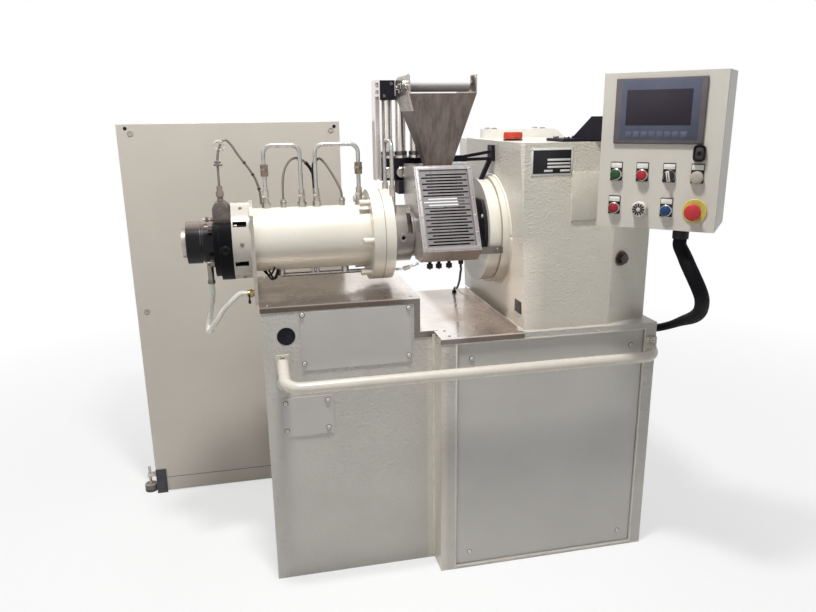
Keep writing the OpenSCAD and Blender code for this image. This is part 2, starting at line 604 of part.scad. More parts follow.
// ---- operator panel ----
pan_o = [308, -372];                 // left front edge of the panel, plan
pan_z0 = gear_top - 210;
pan_z1 = pan_z0 + panel_h;
pan_back = 14;                       // rise of the underside towards the back
module on_panel() { translate([pan_o[0], pan_o[1], 0]) rotate([0, 0, -panel_turn]) children(); }
module panel_box() {
  color("#d9d7cf") on_panel() yz_plate(0, panel_w, [[0, pan_z0], [panel_d, pan_z0 + pan_back], [panel_d, pan_z1], [0, pan_z1]]);
}
module operator_display() {
  color("#6d6a70") on_panel() box([32, -6, pan_z1 - 168.5], [246, 0, pan_z1 - 13.5]);
}
but_x = [45, 110, 175, 241];
but_z = [pan_z0 + 134, pan_z0 + 49];
module panel_controls() {
  color("#2b2b30") on_panel() {
    for (i = [0 : 3]) box([but_x[i] - 16, -2, but_z[0] - 16], [but_x[i] + 14, 0, but_z[0] + 31]);
    for (i = [0, 2]) box([but_x[i] - 16, -2, but_z[1] - 16], [but_x[i] + 14, 0, but_z[1] + 31]);
    for (i = [0 : 3]) yrod(but_x[i], -15, -2, but_z[0], 13);
    for (i = [0, 2]) yrod(but_x[i], -15, -2, but_z[1], 13);
    yrod(but_x[1], -18, 0, but_z[1], 19);
    box([but_x[3] - 14, -8, but_z[0] + 35], [but_x[3] + 14, 0, but_z[0] + 75]);
    yrod(but_x[3], -3, 0, but_z[1] + 2, 29);
    yrod(but_x[3], -20, -3, but_z[1] + 1, 14);
    yrod(but_x[3], -34, -20, but_z[1] + 1, 20);
  }
}
module panel_bracket() {
  color("#1f1f26") {
    box([262, -240, gear_top], [395, -130, gear_top + 8]);
    // web in the plane of the panel back, foot on the plate
    on_panel() translate([0, panel_d, 0]) rotate([90, 0, 0]) translate([0, 0, -8]) linear_extrude(height = 8)
      polygon([[-124, gear_top + 4], [-66, gear_top + 67], [60, gear_top + 67], [60, gear_top + 25],
        [-40, gear_top + 4]]);
  }
}
module cable_glands() {
  color("#1b1b20") {
    difference() { zrod(492, -474, axis_z + 30, pan_z0 + 20, 20); panel_box(); }
    difference() {
      union() {
        zrod(hinge_x, 0, hinge_z, axis_z + 158, 8);
        translate([hinge_x, 0, axis_z + 128]) cylinder(r = 11, h = 14, $fn = 6);
      }
      yrod(hinge_x, -40, 40, hinge_z, 24);
    }
    zrod(12, -118, axis_z - 81, guard_bt[1], 7);
    zrod(92, 224, deck_lo, axis_z - 251, 7);
  }
}
module guard_cable() { color("#1d1d22") from_axis() swept(guard_pts, 3.5, 8, [1, 0, 0]); }

// ---- control cabinet behind ----
module cabinet() { color("#cfccc2") box([cab_x0, cab_y0, plinth_h], [cab_x0 + cab_w, cab_y0 + cab_d, cab_h]); }
module cabinet_plinth() {
  color("#c2bfb6") difference() {
    box([cab_x0, cab_y0, pad_h], [cab_x0 + cab_w, cab_y0 + cab_d, plinth_h]);
    box([cab_x0 + 40, cab_y0 + 40, -1], [cab_x0 + cab_w - 40, cab_y0 + cab_d - 40, plinth_h + 1]);
  }
}
module cabinet_feet() {
  color("#3c3c40") {
    // levelling feet on the left end
    for (y = [cab_y0 + 30, cab_y0 + cab_d - 30]) {
      zrod(cab_x0 - 26, y, 0, foot_h, 22);
      zrod(cab_x0 - 26, y, foot_h, foot_h + 70, 5);
      box([cab_x0 - 34, y - 14, foot_h + 34], [cab_x0, y + 14, foot_h + 40]);
    }
    // rubber corner piece
    box([cab_x0, cab_y0 - 5, 0], [cab_x0 + 36, cab_y0, 94]);
    // pads under the plinth
    for (x = [cab_x0 + 22, cab_x0 + cab_w - 22]) for (y = [cab_y0 + 22, cab_y0 + cab_d - 22]) zrod(x, y, 0, pad_h, 18);
  }
}

base_frame();
access_panels();
hand_rail();
drip_tray();
barrel_support_plate();
barrel();
feed_casting();
die_head_ring();
die_flange();
die_nozzle();
nozzle_ring();
head_hinge_lug();
die_nuts();
cooling_tubes();
tube_fittings();
sensor_cable();
front_barrel_lead();
rear_barrel_lead();
hose_elbow();
drain_hose();
slotted_guard();
guard_knobs();
guard_cable();
guard_bar();
hopper();
roller_side_plates();
guide_roller();
feed_columns();
column_blocks();
hopper_arm();
gearbox();
gearbox_flange();
seal_plate();
drain_plug();
breather_cap();
rear_drive_housing();
panel_bracket();
panel_box();
operator_display();
panel_controls();
cable_glands();
panel_conduit();
cabinet();
cabinet_plinth();
cabinet_feet();
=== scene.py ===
import math

import bpy
from mathutils import Matrix, Vector


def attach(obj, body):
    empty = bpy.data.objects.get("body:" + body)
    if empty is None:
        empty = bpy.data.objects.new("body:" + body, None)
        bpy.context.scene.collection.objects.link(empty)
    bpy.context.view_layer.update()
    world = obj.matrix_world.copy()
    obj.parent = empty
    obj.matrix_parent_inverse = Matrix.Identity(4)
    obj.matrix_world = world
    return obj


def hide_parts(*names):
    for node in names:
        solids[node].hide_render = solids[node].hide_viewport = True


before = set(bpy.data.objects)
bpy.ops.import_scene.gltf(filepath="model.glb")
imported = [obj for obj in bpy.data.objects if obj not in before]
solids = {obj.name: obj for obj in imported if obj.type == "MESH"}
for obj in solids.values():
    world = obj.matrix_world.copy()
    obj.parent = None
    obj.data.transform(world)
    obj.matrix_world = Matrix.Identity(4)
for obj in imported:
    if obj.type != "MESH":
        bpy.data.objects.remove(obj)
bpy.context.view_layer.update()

# ---- Camera ----
# It stands where a visitor stands, off the left front corner of the machine, 1.35 m above the floor.
turned_right, looking_down, leaning = math.radians(12.31), math.radians(15.20), math.radians(-0.71)
camera_data = bpy.data.cameras.new("camera")
camera_data.lens = 30.93
camera_data.sensor_width = 36.0
camera = bpy.data.objects.new("camera", camera_data)
bpy.context.scene.collection.objects.link(camera)
camera.matrix_world = (
    Matrix.Translation((-0.574, -2.066, 1.345))
    @ Matrix.Rotation(-turned_right, 4, "Z")
    @ Matrix.Rotation(math.pi / 2 - looking_down, 4, "X")
    @ Matrix.Rotation(leaning, 4, "Z")
)
bpy.context.scene.camera = camera
bpy.context.scene.view_settings.view_transform = "Standard"


# ---- Studio ----
# A white floor and a white room, a small bright box and a wide soft one overhead, weaker ones around.
def put(tree, kind, sockets=None, **settings):
    """A shader node with its settings; a socket is given a value, or what is linked to it."""
    node = tree.nodes.new("ShaderNode" + kind)
    for key, value in settings.items():
        setattr(node, key, value)
    for key, value in (sockets or {}).items():
        if isinstance(value, bpy.types.NodeSocket):
            tree.links.new(value, node.inputs[key])
        else:
            node.inputs[key].default_value = value
    return node


def maths(tree, operation, *values):
    """One step of arithmetic on numbers and sockets."""
    return put(tree, "Math", dict(enumerate(values)), operation=operation).outputs[0]


def ramp(tree, value, start=0.0, end=1.0, low=0.0, high=1.0):
    """A number carried from one range to another, and held at the ends."""
    bounds = {"From Min": start, "From Max": end, "To Min": low, "To Max": high}
    return put(tree, "MapRange", {"Value": value, **bounds}).outputs[0]


def own_place(tree):
    """Where each point of a piece lies."""
    return put(tree, "TexCoord").outputs["Object"]


def seen_directly(tree):
    """1 for a ray from the camera, a mirror or glass, 0 for the light that falls on the machine."""
    path = put(tree, "LightPath")
    seen = maths(tree, "MAXIMUM", path.outputs["Is Camera Ray"], path.outputs["Is Glossy Ray"])
    return maths(tree, "MAXIMUM", seen, path.outputs["Is Transmission Ray"])


room = bpy.data.worlds.new("white_room")
bpy.context.scene.world = room
room.use_nodes = True
room.node_tree.nodes.clear()
room_tree = room.node_tree
ROOM_LIGHT = 0.20
strength = ramp(room_tree, seen_directly(room_tree), low=ROOM_LIGHT)
sky = put(room_tree, "Background", {"Color": (1, 1, 1, 1), "Strength": strength})
put(room_tree, "OutputWorld", {"Surface": sky.outputs[0]})

floor_paint = bpy.data.materials.new("floor_paint")
floor_paint.use_nodes = True
floor_tree = floor_paint.node_tree
floor_tree.nodes.clear()
speckle = put(floor_tree, "TexNoise", {"Vector": own_place(floor_tree), "Scale": 30.0})
pale = ramp(floor_tree, speckle.outputs["Fac"], low=0.84, high=0.88)
lit = put(floor_tree, "BsdfDiffuse", {"Color": pale})
glow = put(floor_tree, "Emission", {"Color": (1, 1, 1, 1), "Strength": 1.0})
# further from the machine more and more of what is seen is plain white, so the floor ends nowhere
away = put(floor_tree, "VectorMath", {0: own_place(floor_tree)}, operation="LENGTH").outputs["Value"]
NEAR_FLOOR, FAR_FLOOR = 0.9, 3.2
far = ramp(floor_tree, away, NEAR_FLOOR, FAR_FLOOR, low=0.62)
share = maths(floor_tree, "MULTIPLY", seen_directly(floor_tree), far)
both = put(floor_tree, "MixShader", {0: share, 1: lit.outputs[0], 2: glow.outputs[0]})
put(floor_tree, "OutputMaterial", {"Surface": both.outputs[0]})

bpy.ops.object.select_all(action="DESELECT")
bpy.ops.mesh.primitive_plane_add(size=40, location=(0, 0, 0))
floor = bpy.context.object
floor.name = "floor"
floor.data.materials.append(floor_paint)

for lamp_name, place, aim, width, depth, power in (
    ("overhead_box", (-0.4, -0.76, 3.3), (-0.2, -0.1, 0.9), 0.34, 0.22, 74.0),
    ("broad_box", (-0.3, -0.3, 3.5), (-0.2, 0.0, 0.9), 3.2, 2.2, 16.0),
    ("left_box", (-3.2, -2.6, 2.3), (-0.2, 0.0, 0.9), 1.8, 1.8, 18.0),
    ("right_box", (3.6, 0.6, 2.6), (0.2, 0.0, 0.9), 1.8, 1.8, 12.0),
    ("rear_box", (-0.6, 4.2, 3.0), (0.0, 0.3, 0.8), 2.4, 1.6, 30.0),
):
    lamp_data = bpy.data.lights.new(lamp_name, "AREA")
    lamp_data.shape = "RECTANGLE"
    lamp_data.size, lamp_data.size_y, lamp_data.energy = width, depth, power
    lamp = bpy.data.objects.new(lamp_name, lamp_data)
    bpy.context.scene.collection.objects.link(lamp)
    lamp.location = place
    lamp.rotation_euler = (Vector(aim) - Vector(place)).to_track_quat("-Z", "Y").to_euler()


# ---- Cables of the head and the barrel ----
# Thin braided sensor leads: steel braid over insulated wire, 7 mm across, one from the head
# hinge, two from the top of the barrel, the last two with a black sleeve over their far half.
SCREW_AXIS = 1.002


def tint(card):
    """A colour of a paint card, three parts from 0 to 255, as the shaders take it."""
    parts = [c / 255 for c in card]
    return tuple(c / 12.92 if c < 0.0404 else ((c + 0.055) / 1.055) ** 2.4 for c in parts) + (1.0,)


def blend(tree, share, under, over):
    """A card colour laid over another colour by a share."""
    return put(tree, "Mix", {0: share, 6: under, 7: tint(over)}, data_type="RGBA").outputs[2]


def effect(name, knobs, results):
    """An empty shader group with number sockets, and its two ends."""
    tree = bpy.data.node_groups.new(name, "ShaderNodeTree")
    for knob, value in knobs.items():
        tree.interface.new_socket(knob, in_out="INPUT", socket_type="NodeSocketFloat").default_value = value
    for result in results:
        tree.interface.new_socket(result, in_out="OUTPUT", socket_type="NodeSocketFloat")
    return tree, tree.nodes.new("NodeGroupInput").outputs, tree.nodes.new("NodeGroupOutput")


def use(tree, group, **knobs):
    """Places an effect group in a material with its own values."""
    node = tree.nodes.new("ShaderNodeGroup")
    node.node_tree = group
    for knob, value in knobs.items():
        node.inputs[knob].default_value = value
    return node.outputs


# cloudy change of tone over a surface, and a fine grain
mottle, knob, ends = effect("mottle", {"Size": 6.0, "Grain": 300.0}, ("Tone", "Grain"))
spot = own_place(mottle)
clouds = put(mottle, "TexNoise", {"Vector": spot, "Scale": knob["Size"], "Detail": 4.0})
tone = ramp(mottle, clouds.outputs["Fac"], 0.32, 0.68)
grain = put(mottle, "TexNoise", {"Vector": spot, "Scale": knob["Grain"], "Detail": 2.0})
mottle.links.new(tone, ends.inputs["Tone"])
mottle.links.new(grain.outputs["Fac"], ends.inputs["Grain"])


def stuff(name, colour, second, rough, rough_change=0.06, metallic=0.0, size=6.0, grain=300.0, bump=0.05,
        deep=0.0004, coat=0.0, shine=0.5, layers=()):
    """A finish: two tones in clouds, a grain in the surface, and any layers of wear or dirt over them."""
    material = bpy.data.materials.new(name)
    material.use_nodes = True
    tree = material.node_tree
    tree.nodes.clear()
    film = use(tree, mottle, Size=size, Grain=grain)
    mixed = blend(tree, film["Tone"], tint(colour), second)
    height = film["Grain"]
    dull = ramp(tree, film["Tone"], low=rough - rough_change, high=rough + rough_change)
    for layer in layers:
        mixed, dull, height = layer(tree, mixed, dull, height)
    relief = put(tree, "Bump", {"Strength": bump, "Distance": deep, "Height": height})
    skin = put(tree, "BsdfPrincipled",
        {"Base Color": mixed, "Roughness": dull, "Normal": relief.outputs[0], "Metallic": metallic,
        "Specular IOR Level": shine, "Coat Weight": coat, "Coat Roughness": 0.12})
    put(tree, "OutputMaterial", {"Surface": skin.outputs[0]})
    return material


# crossing strands of a braided sleeve, from the lead's own map: around it and along it
braid, knob, ends = effect("braid", {"Round": 6.0, "Along": 160.0}, ("Strand",))
around = put(braid, "SeparateXYZ", {0: put(braid, "TexCoord").outputs["UV"]})
turns = maths(braid, "MULTIPLY", around.outputs[0], knob["Round"])
climb = maths(braid, "MULTIPLY", around.outputs[1], knob["Along"])
strands = []
for way in ("ADD", "SUBTRACT"):
    slant = maths(braid, way, turns, climb)
    strands.append(maths(braid, "PINGPONG", slant, 1.0))
braid.links.new(maths(braid, "MULTIPLY", *strands), ends.inputs["Strand"])


def braided(round_count, along, dark):
    """A layer of crossing strands, darker between them."""
    def lay(tree, mixed, dull, height):
        strand = use(tree, braid, Round=round_count, Along=along)["Strand"]
        gap = ramp(tree, strand, 0.05, 0.55, 1.0, 0.0)
        return blend(tree, gap, mixed, dark), dull, strand
    return lay


def along_route(points, spacing=0.004):
    """Evenly spaced points on a smooth line through the chosen ones, in mm, heights from the screw axis."""
    chosen = [Vector((x / 1000, y / 1000, z / 1000 + SCREW_AXIS)) for x, y, z in points]
    ends_too = [2 * chosen[0] - chosen[1]] + chosen + [2 * chosen[-1] - chosen[-2]]
    fine = []
    for a, b, c, d in zip(ends_too, ends_too[1:], ends_too[2:], ends_too[3:]):
        for step in range(24):
            t = step / 24
            fine.append(0.5 * (2 * b + (c - a) * t + (2 * a - 5 * b + 4 * c - d) * t * t
                + (3 * b - a - 3 * c + d) * t ** 3))
    fine.append(chosen[-1])
    length = sum((q - p).length for p, q in zip(fine, fine[1:]))
    count = max(8, round(length / spacing))
    line, walked, i = [fine[0]], 0.0, 0
    for n in range(1, count):
        goal = length * n / count
        while walked + (fine[i + 1] - fine[i]).length < goal:
            walked += (fine[i + 1] - fine[i]).length
            i += 1
        line.append(fine[i].lerp(fine[i + 1], (goal - walked) / (fine[i + 1] - fine[i]).length))
    return line + [fine[-1]], length


def lead(name, line, radius, sides=12):
    """A closed tube round a line, with its own map: once around, and metres along."""
    if not callable(radius):
        radius = (lambda r: lambda walked: r)(radius)
    heading = [(line[min(i + 1, len(line) - 1)] - line[max(i - 1, 0)]).normalized()
        for i in range(len(line))]
    side = heading[0].orthogonal().normalized()
    verts, walked, reach = [], 0.0, []
    for i, (spot, way) in enumerate(zip(line, heading)):
        side = (side - way * side.dot(way)).normalized()
        walked += (line[i] - line[i - 1]).length if i else 0.0
        reach.append(walked)
        up = way.cross(side)
        for k in range(sides):
            turn = math.tau * k / sides
            verts.append(spot + radius(walked) * (math.cos(turn) * side + math.sin(turn) * up))
    faces = []
    for i in range(len(line) - 1):
        for k in range(sides):
            here, there = i * sides + k, i * sides + (k + 1) % sides
            faces.append([here, there, there + sides, here + sides])
    last = (len(line) - 1) * sides
    faces += [list(range(sides))[::-1], [last + k for k in range(sides)]]
    mesh = bpy.data.meshes.new(name)
    mesh.from_pydata(verts, [], faces)
    own_map = mesh.uv_layers.new(name="route")
    for face in mesh.polygons:
        wall = len(face.vertices) == 4
        closing = wall and any(v % sides == sides - 1 for v in face.vertices)
        face.use_smooth = wall
        for corner, vertex in zip(face.loop_indices, face.vertices):
            k, ring = vertex % sides, vertex // sides
            own_map.data[corner].uv = (1.0 if closing and k == 0 else k / sides, reach[ring])
    piece = bpy.data.objects.new(name, mesh)
    bpy.context.scene.collection.objects.link(piece)
    return piece


def finished(piece, name, material, body="machine", smooth=35, stands_for=()):
    """The last steps on every piece: its name, finish, slot and body."""
    piece.name = piece.data.name = name
    piece.data.materials.clear()
    piece.data.materials.append(material)
    if smooth and piece.type == "MESH":
        bpy.ops.object.select_all(action="DESELECT")
        piece.select_set(True)
        bpy.context.view_layer.objects.active = piece
        bpy.ops.object.shade_smooth_by_angle(angle=math.radians(smooth))
    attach(piece, body)
    if stands_for:
        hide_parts(*stands_for)
    return piece


def sleeve_radius(walked):
    """A tape wrap 12 mm long starts the sleeve, just past the top of the arc."""
    return 0.0052 if walked < 0.012 else 0.0044


def hang(name, node, route, radius, finish, spacing=0.004, sides=12, every=1,
        sleeve_from=None):
    """A cord through its chosen points, and any sleeve over its far part."""
    line, length = along_route(route, spacing)
    cord = finished(lead(name, line, radius, sides), name, finish, smooth=0, stands_for=[node])
    sleeve = []
    if sleeve_from:
        start = round(len(line) * sleeve_from)
        cover = lead(name + "_sleeve", line[start:-1], sleeve_radius)
        sleeve = [finished(cover, name + "_sleeve", black_sleeve, smooth=0)]
    path = line[::every]
    if path[-1] is not line[-1]:
        path.append(line[-1])


steel_braid = stuff("steel_braid", (158, 150, 141), (134, 126, 118), 0.42, metallic=0.35, size=20, bump=0.5,
    deep=0.0006, layers=[braided(5.0, 260.0, (112, 104, 96))])
black_sleeve = stuff("black_sleeve", (34, 31, 36), (26, 24, 27), 0.55, shine=0.2, size=30, bump=0.4,
    deep=0.0005, layers=[braided(6.0, 220.0, (14, 13, 15))])

sensor_route = [(-664, 0, 158), (-664, 0, 200), (-662, 0, 240), (-652, 0, 272), (-638, 4, 284),
    (-622, 8, 268), (-608, 12, 244), (-590, 14, 218), (-573, 16, 192), (-560, 18, 164), (-553, 18, 134),
    (-551, 18, 100)]
front_route = [(-488, 0, 114), (-488, 0, 140), (-486, 2, 168), (-480, 5, 196), (-466, 8, 220),
    (-448, 12, 229), (-426, 20, 222), (-406, 32, 200), (-392, 44, 168), (-384, 54, 132), (-380, 62, 96),
    (-378, 67.4, 65.6)]
rear_route = [(-318, 0, 114), (-320, 0, 132), (-330, 3, 156), (-346, 8, 186), (-364, 14, 214),
    (-380, 20, 226), (-394, 22, 212), (-398, 22, 186), (-397, 20, 160), (-396, 20, 130), (-396, 20, 90)]
for name, node, route, radius, sleeve_from in (
    ("sensor_lead", "sensor_cable", sensor_route, 0.0035, None),
    ("front_lead", "front_barrel_lead", front_route, 0.0034, 0.50),
    ("rear_lead", "rear_barrel_lead", rear_route, 0.0034, 0.48),
):
    hang(name, node, route, radius, steel_braid, sleeve_from=sleeve_from)


# ---- Drain hose ----
# Clear ribbed plastic hose from the outlet under the nozzle, in a loose loop, back to the brass tail
# on the support plate. It is pushed over both tails.
def wavy(radius, pitch, depth):
    """The radius of a ribbed hose along its length."""
    return lambda walked: radius + depth * math.cos(math.tau * walked / pitch)


clear_hose = stuff("clear_hose", (248, 245, 239), (236, 231, 223), 0.28, size=14, bump=0.1)
clear_skin = clear_hose.node_tree.nodes["Principled BSDF"]
clear_skin.inputs["Transmission Weight"].default_value = 0.35
clear_skin.inputs["Subsurface Weight"].default_value = 0.2
hose_route = [(-706, -20, -116), (-706, -20, -152), (-714, -20, -192), (-722, -22, -227), (-726, -34, -250),
    (-722, -54, -252), (-712, -70, -237), (-696, -80, -212), (-676, -84, -182), (-654, -84, -160),
    (-628, -80, -140), (-607, -80, -140)]
hang("ribbed_drain_hose", "drain_hose", hose_route, wavy(0.0076, 0.005, 0.0004), clear_hose,
    spacing=0.00125, sides=20, every=8)

# ---- Guard switch cable ----
# Black rubber cable, 7 mm, from the gland under the guard down to the gland in the tray.
cable_rubber = stuff("cable_rubber", (30, 28, 32), (22, 21, 24), 0.5, shine=0.25, size=40, grain=900,
    bump=0.15)
guard_route = [(12, -118, -81), (12, -118, -90), (19, -98, -100), (28, -60, -125), (44, 0, -158),
    (57, 60, -190), (70, 120, -215), (83, 180, -230), (91, 214, -236), (92, 224, -242), (92, 224, -251)]
hang("guard_switch_cable", "guard_cable", guard_route, 0.0035, cable_rubber)

# ---- Panel conduit ----
# Black woven conduit with all the wires of the panel, from its gland down and round to the base.
# Its far half runs on in a thinner sleeve.
woven_conduit = stuff("woven_conduit", (27, 24, 30), (20, 18, 22), 0.7, shine=0.08, size=12, bump=0.3,
    deep=0.0008, layers=[braided(14.0, 150.0, (17, 15, 18))])
conduit_route = [(492, -474, 30), (492, -474, 12), (498, -488, -12), (499, -508, -34), (509, -522, -64),
    (526, -524, -96), (545, -512, -124), (567, -484, -154), (590, -444, -184), (610, -390, -214),
    (626, -318, -246), (636, -246, -280), (640, -180, -308), (632, -136, -322), (606, -120, -326),
    (575, -120, -326)]
GLAND_RADIUS, FULL_RADIUS, THIN_RADIUS = 0.0165, 0.0185, 0.012
FULL_FROM, THIN_FROM, THIN_OVER = 0.06, 0.30, 0.22


def conduit_radius(walked):
    """Widening out of the gland, full over the first half, then drawn in to the thin sleeve."""
    if walked < FULL_FROM:
        return GLAND_RADIUS + (FULL_RADIUS - GLAND_RADIUS) * walked / FULL_FROM
    share = min(1.0, max(0.0, (walked - THIN_FROM) / THIN_OVER))
    return FULL_RADIUS + (THIN_RADIUS - FULL_RADIUS) * share * share * (3 - 2 * share)


hang("woven_panel_conduit", "panel_conduit", conduit_route, conduit_radius, woven_conduit,
    spacing=0.005, sides=28, every=2)

# ---- Base ----
# Welded steel box, narrow under the barrel and wide under the gearbox, brushed over with a
# hammered off-white paint that pools in soft dimples.
def level_along(tree, spot, normal):
    """How far a point lies along a direction."""
    return put(tree, "VectorMath", {0: spot, 1: normal}, operation="DOT_PRODUCT").outputs["Value"]


# bare or worn paint along the edges, from how far the surface turns within a small reach
wear, knob, ends = effect("wear", {"Reach": 0.004, "Size": 60.0}, ("Edge",))
eased = put(wear, "Bevel", {"Radius": knob["Reach"]}, samples=4)
flat = put(wear, "NewGeometry")
turned_away = ramp(wear, level_along(wear, eased.outputs[0], flat.outputs["Normal"]), 0.995, 0.80)
broken = put(wear, "TexNoise", {"Vector": own_place(wear), "Scale": knob["Size"], "Detail": 3.0})
patchy = ramp(wear, broken.outputs["Fac"], 0.35, 0.62)
wear.links.new(maths(wear, "MULTIPLY", turned_away, patchy), ends.inputs["Edge"])
# dirt that gathers where faces meet, with painted shade: the colour darkens wherever the surface is closed
# in
corner_dirt_and_shade, knob, ends = effect("corner_dirt_and_shade", {"Reach": 0.05, "Size": 18.0}, ("DirtShade",))
corner = put(corner_dirt_and_shade, "AmbientOcclusion", {"Distance": knob["Reach"]}, samples=6, only_local=False)
closed = ramp(corner_dirt_and_shade, corner.outputs["AO"], 0.9, 0.25)
smear = put(corner_dirt_and_shade, "TexNoise", {"Vector": own_place(corner_dirt_and_shade), "Scale": knob["Size"], "Detail": 5.0})
uneven = ramp(corner_dirt_and_shade, smear.outputs["Fac"], 0.3, 0.7, 0.25)
dirt_shade = put(corner_dirt_and_shade, "Math", {0: closed, 1: uneven}, operation="MULTIPLY", use_clamp=True)
corner_dirt_and_shade.links.new(dirt_shade.outputs[0], ends.inputs["DirtShade"])


def worn(amount, bare, reach=0.004, size=60.0, bare_rough=0.4):
    """A layer of worn edges, how bare and in what colour."""
    def lay(tree, mixed, dull, height):
        edge = use(tree, wear, Reach=reach, Size=size)["Edge"]
        part = maths(tree, "MULTIPLY", edge, amount)
        dull = put(tree, "Mix", {0: part, 2: dull, 3: bare_rough}, data_type="FLOAT").outputs[0]
        return blend(tree, part, mixed, bare), dull, height
    return lay


DUSTY = 0.8


def dirt_and_shade(amount, colour, reach=0.05, size=18.0):
    """A layer of dirt and painted shade in the corners."""
    def lay(tree, mixed, dull, height):
        dirt_shade = use(tree, corner_dirt_and_shade, Reach=reach, Size=size)["DirtShade"]
        part = maths(tree, "MULTIPLY", dirt_shade, amount)
        dull = put(tree, "Mix", {0: part, 2: dull, 3: DUSTY}, data_type="FLOAT").outputs[0]
        return blend(tree, part, mixed, colour), dull, height
    return lay


# soft dimples of hammered or thickly brushed paint
dimple, knob, ends = effect("dimple", {"Size": 160.0}, ("Relief",))
place = own_place(dimple)
cells = put(dimple, "TexVoronoi", {"Vector": place, "Scale": knob["Size"]}, feature="SMOOTH_F1")
waves = put(dimple, "TexNoise", {"Vector": place, "Scale": knob["Size"], "Detail": 3.0})
summed = maths(dimple, "ADD", cells.outputs["Distance"], waves.outputs["Fac"])
dimple.links.new(summed, ends.inputs["Relief"])


def hammered(size):
    """A layer of dimples for the surface to catch the light on."""
    def lay(tree, mixed, dull, height):
        relief = use(tree, dimple, Size=size)["Relief"]
        return mixed, dull, maths(tree, "ADD", relief, height)
    return lay


def dress(material, *names):
    """Gives the solids of these names a finish."""
    for name in names:
        for place in solids[name].material_slots:
            place.material = material


def zone(low, high, colour, amount=1.0, soft=0.001, face=((0, 0, 1), 9.0)):
    """A layer of another colour inside a box, and only below a slanted plane."""
    def lay(tree, mixed, dull, height):
        spot = own_place(tree)
        axes = put(tree, "SeparateXYZ", {0: spot}).outputs
        part = amount
        for axis, (a, b) in enumerate(zip(low, high)):
            off = maths(tree, "ABSOLUTE", maths(tree, "SUBTRACT", axes[axis], (a + b) / 2))
            inside = ramp(tree, off, (b - a) / 2 + soft, (b - a) / 2)
            part = maths(tree, "MULTIPLY", inside, part)
        below = maths(tree, "LESS_THAN", level_along(tree, spot, face[0]), face[1])
        part = maths(tree, "MULTIPLY", part, below)
        return blend(tree, part, mixed, colour), dull, height
    return lay


hammered_paint = stuff("hammered_paint", (192, 188, 181), (185, 181, 174), 0.40, size=5, grain=420, bump=0.8,
    deep=0.0020, coat=0.25,
    layers=[hammered(120.0), dirt_and_shade(0.30, (150, 140, 120)), worn(0.35, (226, 222, 208)),
    # a paler strip over the step where the base widens: a painted patch of warm light
    zone((-0.104, -0.30, 0.0), (-0.078, 0.30, 0.742), (218, 212, 196), 0.55, 0.012)])
dress(hammered_paint, "base_frame")
plate_paint = stuff("plate_paint", (190, 187, 182), (182, 179, 174), 0.36, size=4, grain=500, bump=0.16,
    deep=0.0006, coat=0.25, layers=[dirt_and_shade(0.25, (150, 140, 120)), worn(0.3, (228, 225, 214), reach=0.002)])
dress(plate_paint, "access_panels")


def clear_selection():
    """Object mode with nothing selected."""
    if bpy.context.mode != "OBJECT":
        bpy.ops.object.mode_set(mode="OBJECT")
    bpy.ops.object.select_all(action="DESELECT")


def rounded(piece, width, segments=2, angle=30):
    """Breaks the edges of a piece."""
    bevel = piece.modifiers.new("edges", "BEVEL")
    bevel.width, bevel.segments = width, segments
    bevel.limit_method, bevel.angle_limit = "ANGLE", math.radians(angle)
    bpy.context.view_layer.objects.active = piece
    bpy.ops.object.modifier_apply(modifier="edges")
    return piece


def turned(steps, sides=32):
    """A turned piece on the Z axis from (radius, height) steps, closed at both ends."""
    clear_selection()
    radius, height = steps[0]
    bpy.ops.mesh.primitive_circle_add(vertices=sides, radius=radius, fill_type="NGON",
        location=(0, 0, height))
    bpy.ops.object.transform_apply()
    bpy.ops.object.mode_set(mode="EDIT")
    bpy.ops.mesh.select_all(action="SELECT")
    for new_radius, new_height in steps[1:]:
        bpy.ops.mesh.extrude_region_move(TRANSFORM_OT_translate={"value": (0, 0, new_height - height)})
        ratio = new_radius / radius
        bpy.ops.transform.resize(value=(ratio, ratio, 1), center_override=(0, 0, new_height))
        radius, height = new_radius, new_height
    bpy.ops.mesh.select_all(action="SELECT")
    bpy.ops.mesh.normals_make_consistent(inside=False)
    bpy.ops.object.mode_set(mode="OBJECT")
    return bpy.context.object


def slab(low, high, edge=0.0005, segments=2):
    """A block between two corners with broken edges."""
    clear_selection()
    size = [b - a for a, b in zip(low, high)]
    bpy.ops.mesh.primitive_cube_add(size=1, location=[(a + b) / 2 for a, b in zip(low, high)])
    piece = bpy.context.object
    piece.scale = size
    bpy.ops.object.transform_apply()
    return rounded(piece, edge, segments) if edge else piece


def joined(pieces):
    """Several pieces made one."""
    clear_selection()
    for piece in pieces:
        piece.select_set(True)
    bpy.context.view_layer.objects.active = pieces[0]
    if len(pieces) > 1:
        bpy.ops.object.join()
    bpy.ops.object.transform_apply()
    return bpy.context.object


def spread(pattern, places):
    """Copies a pattern, made on the Z axis, to each (point, direction), joined as one piece."""
    copies = []
    for point, way in places:
        copy = pattern.copy()
        copy.data = pattern.data.copy()
        bpy.context.scene.collection.objects.link(copy)
        turn = Vector(way).to_track_quat("Z", "Y").to_matrix().to_4x4()
        copy.matrix_world = Matrix.Translation(point) @ turn
        copies.append(copy)
    bpy.data.objects.remove(pattern)
    return joined(copies)


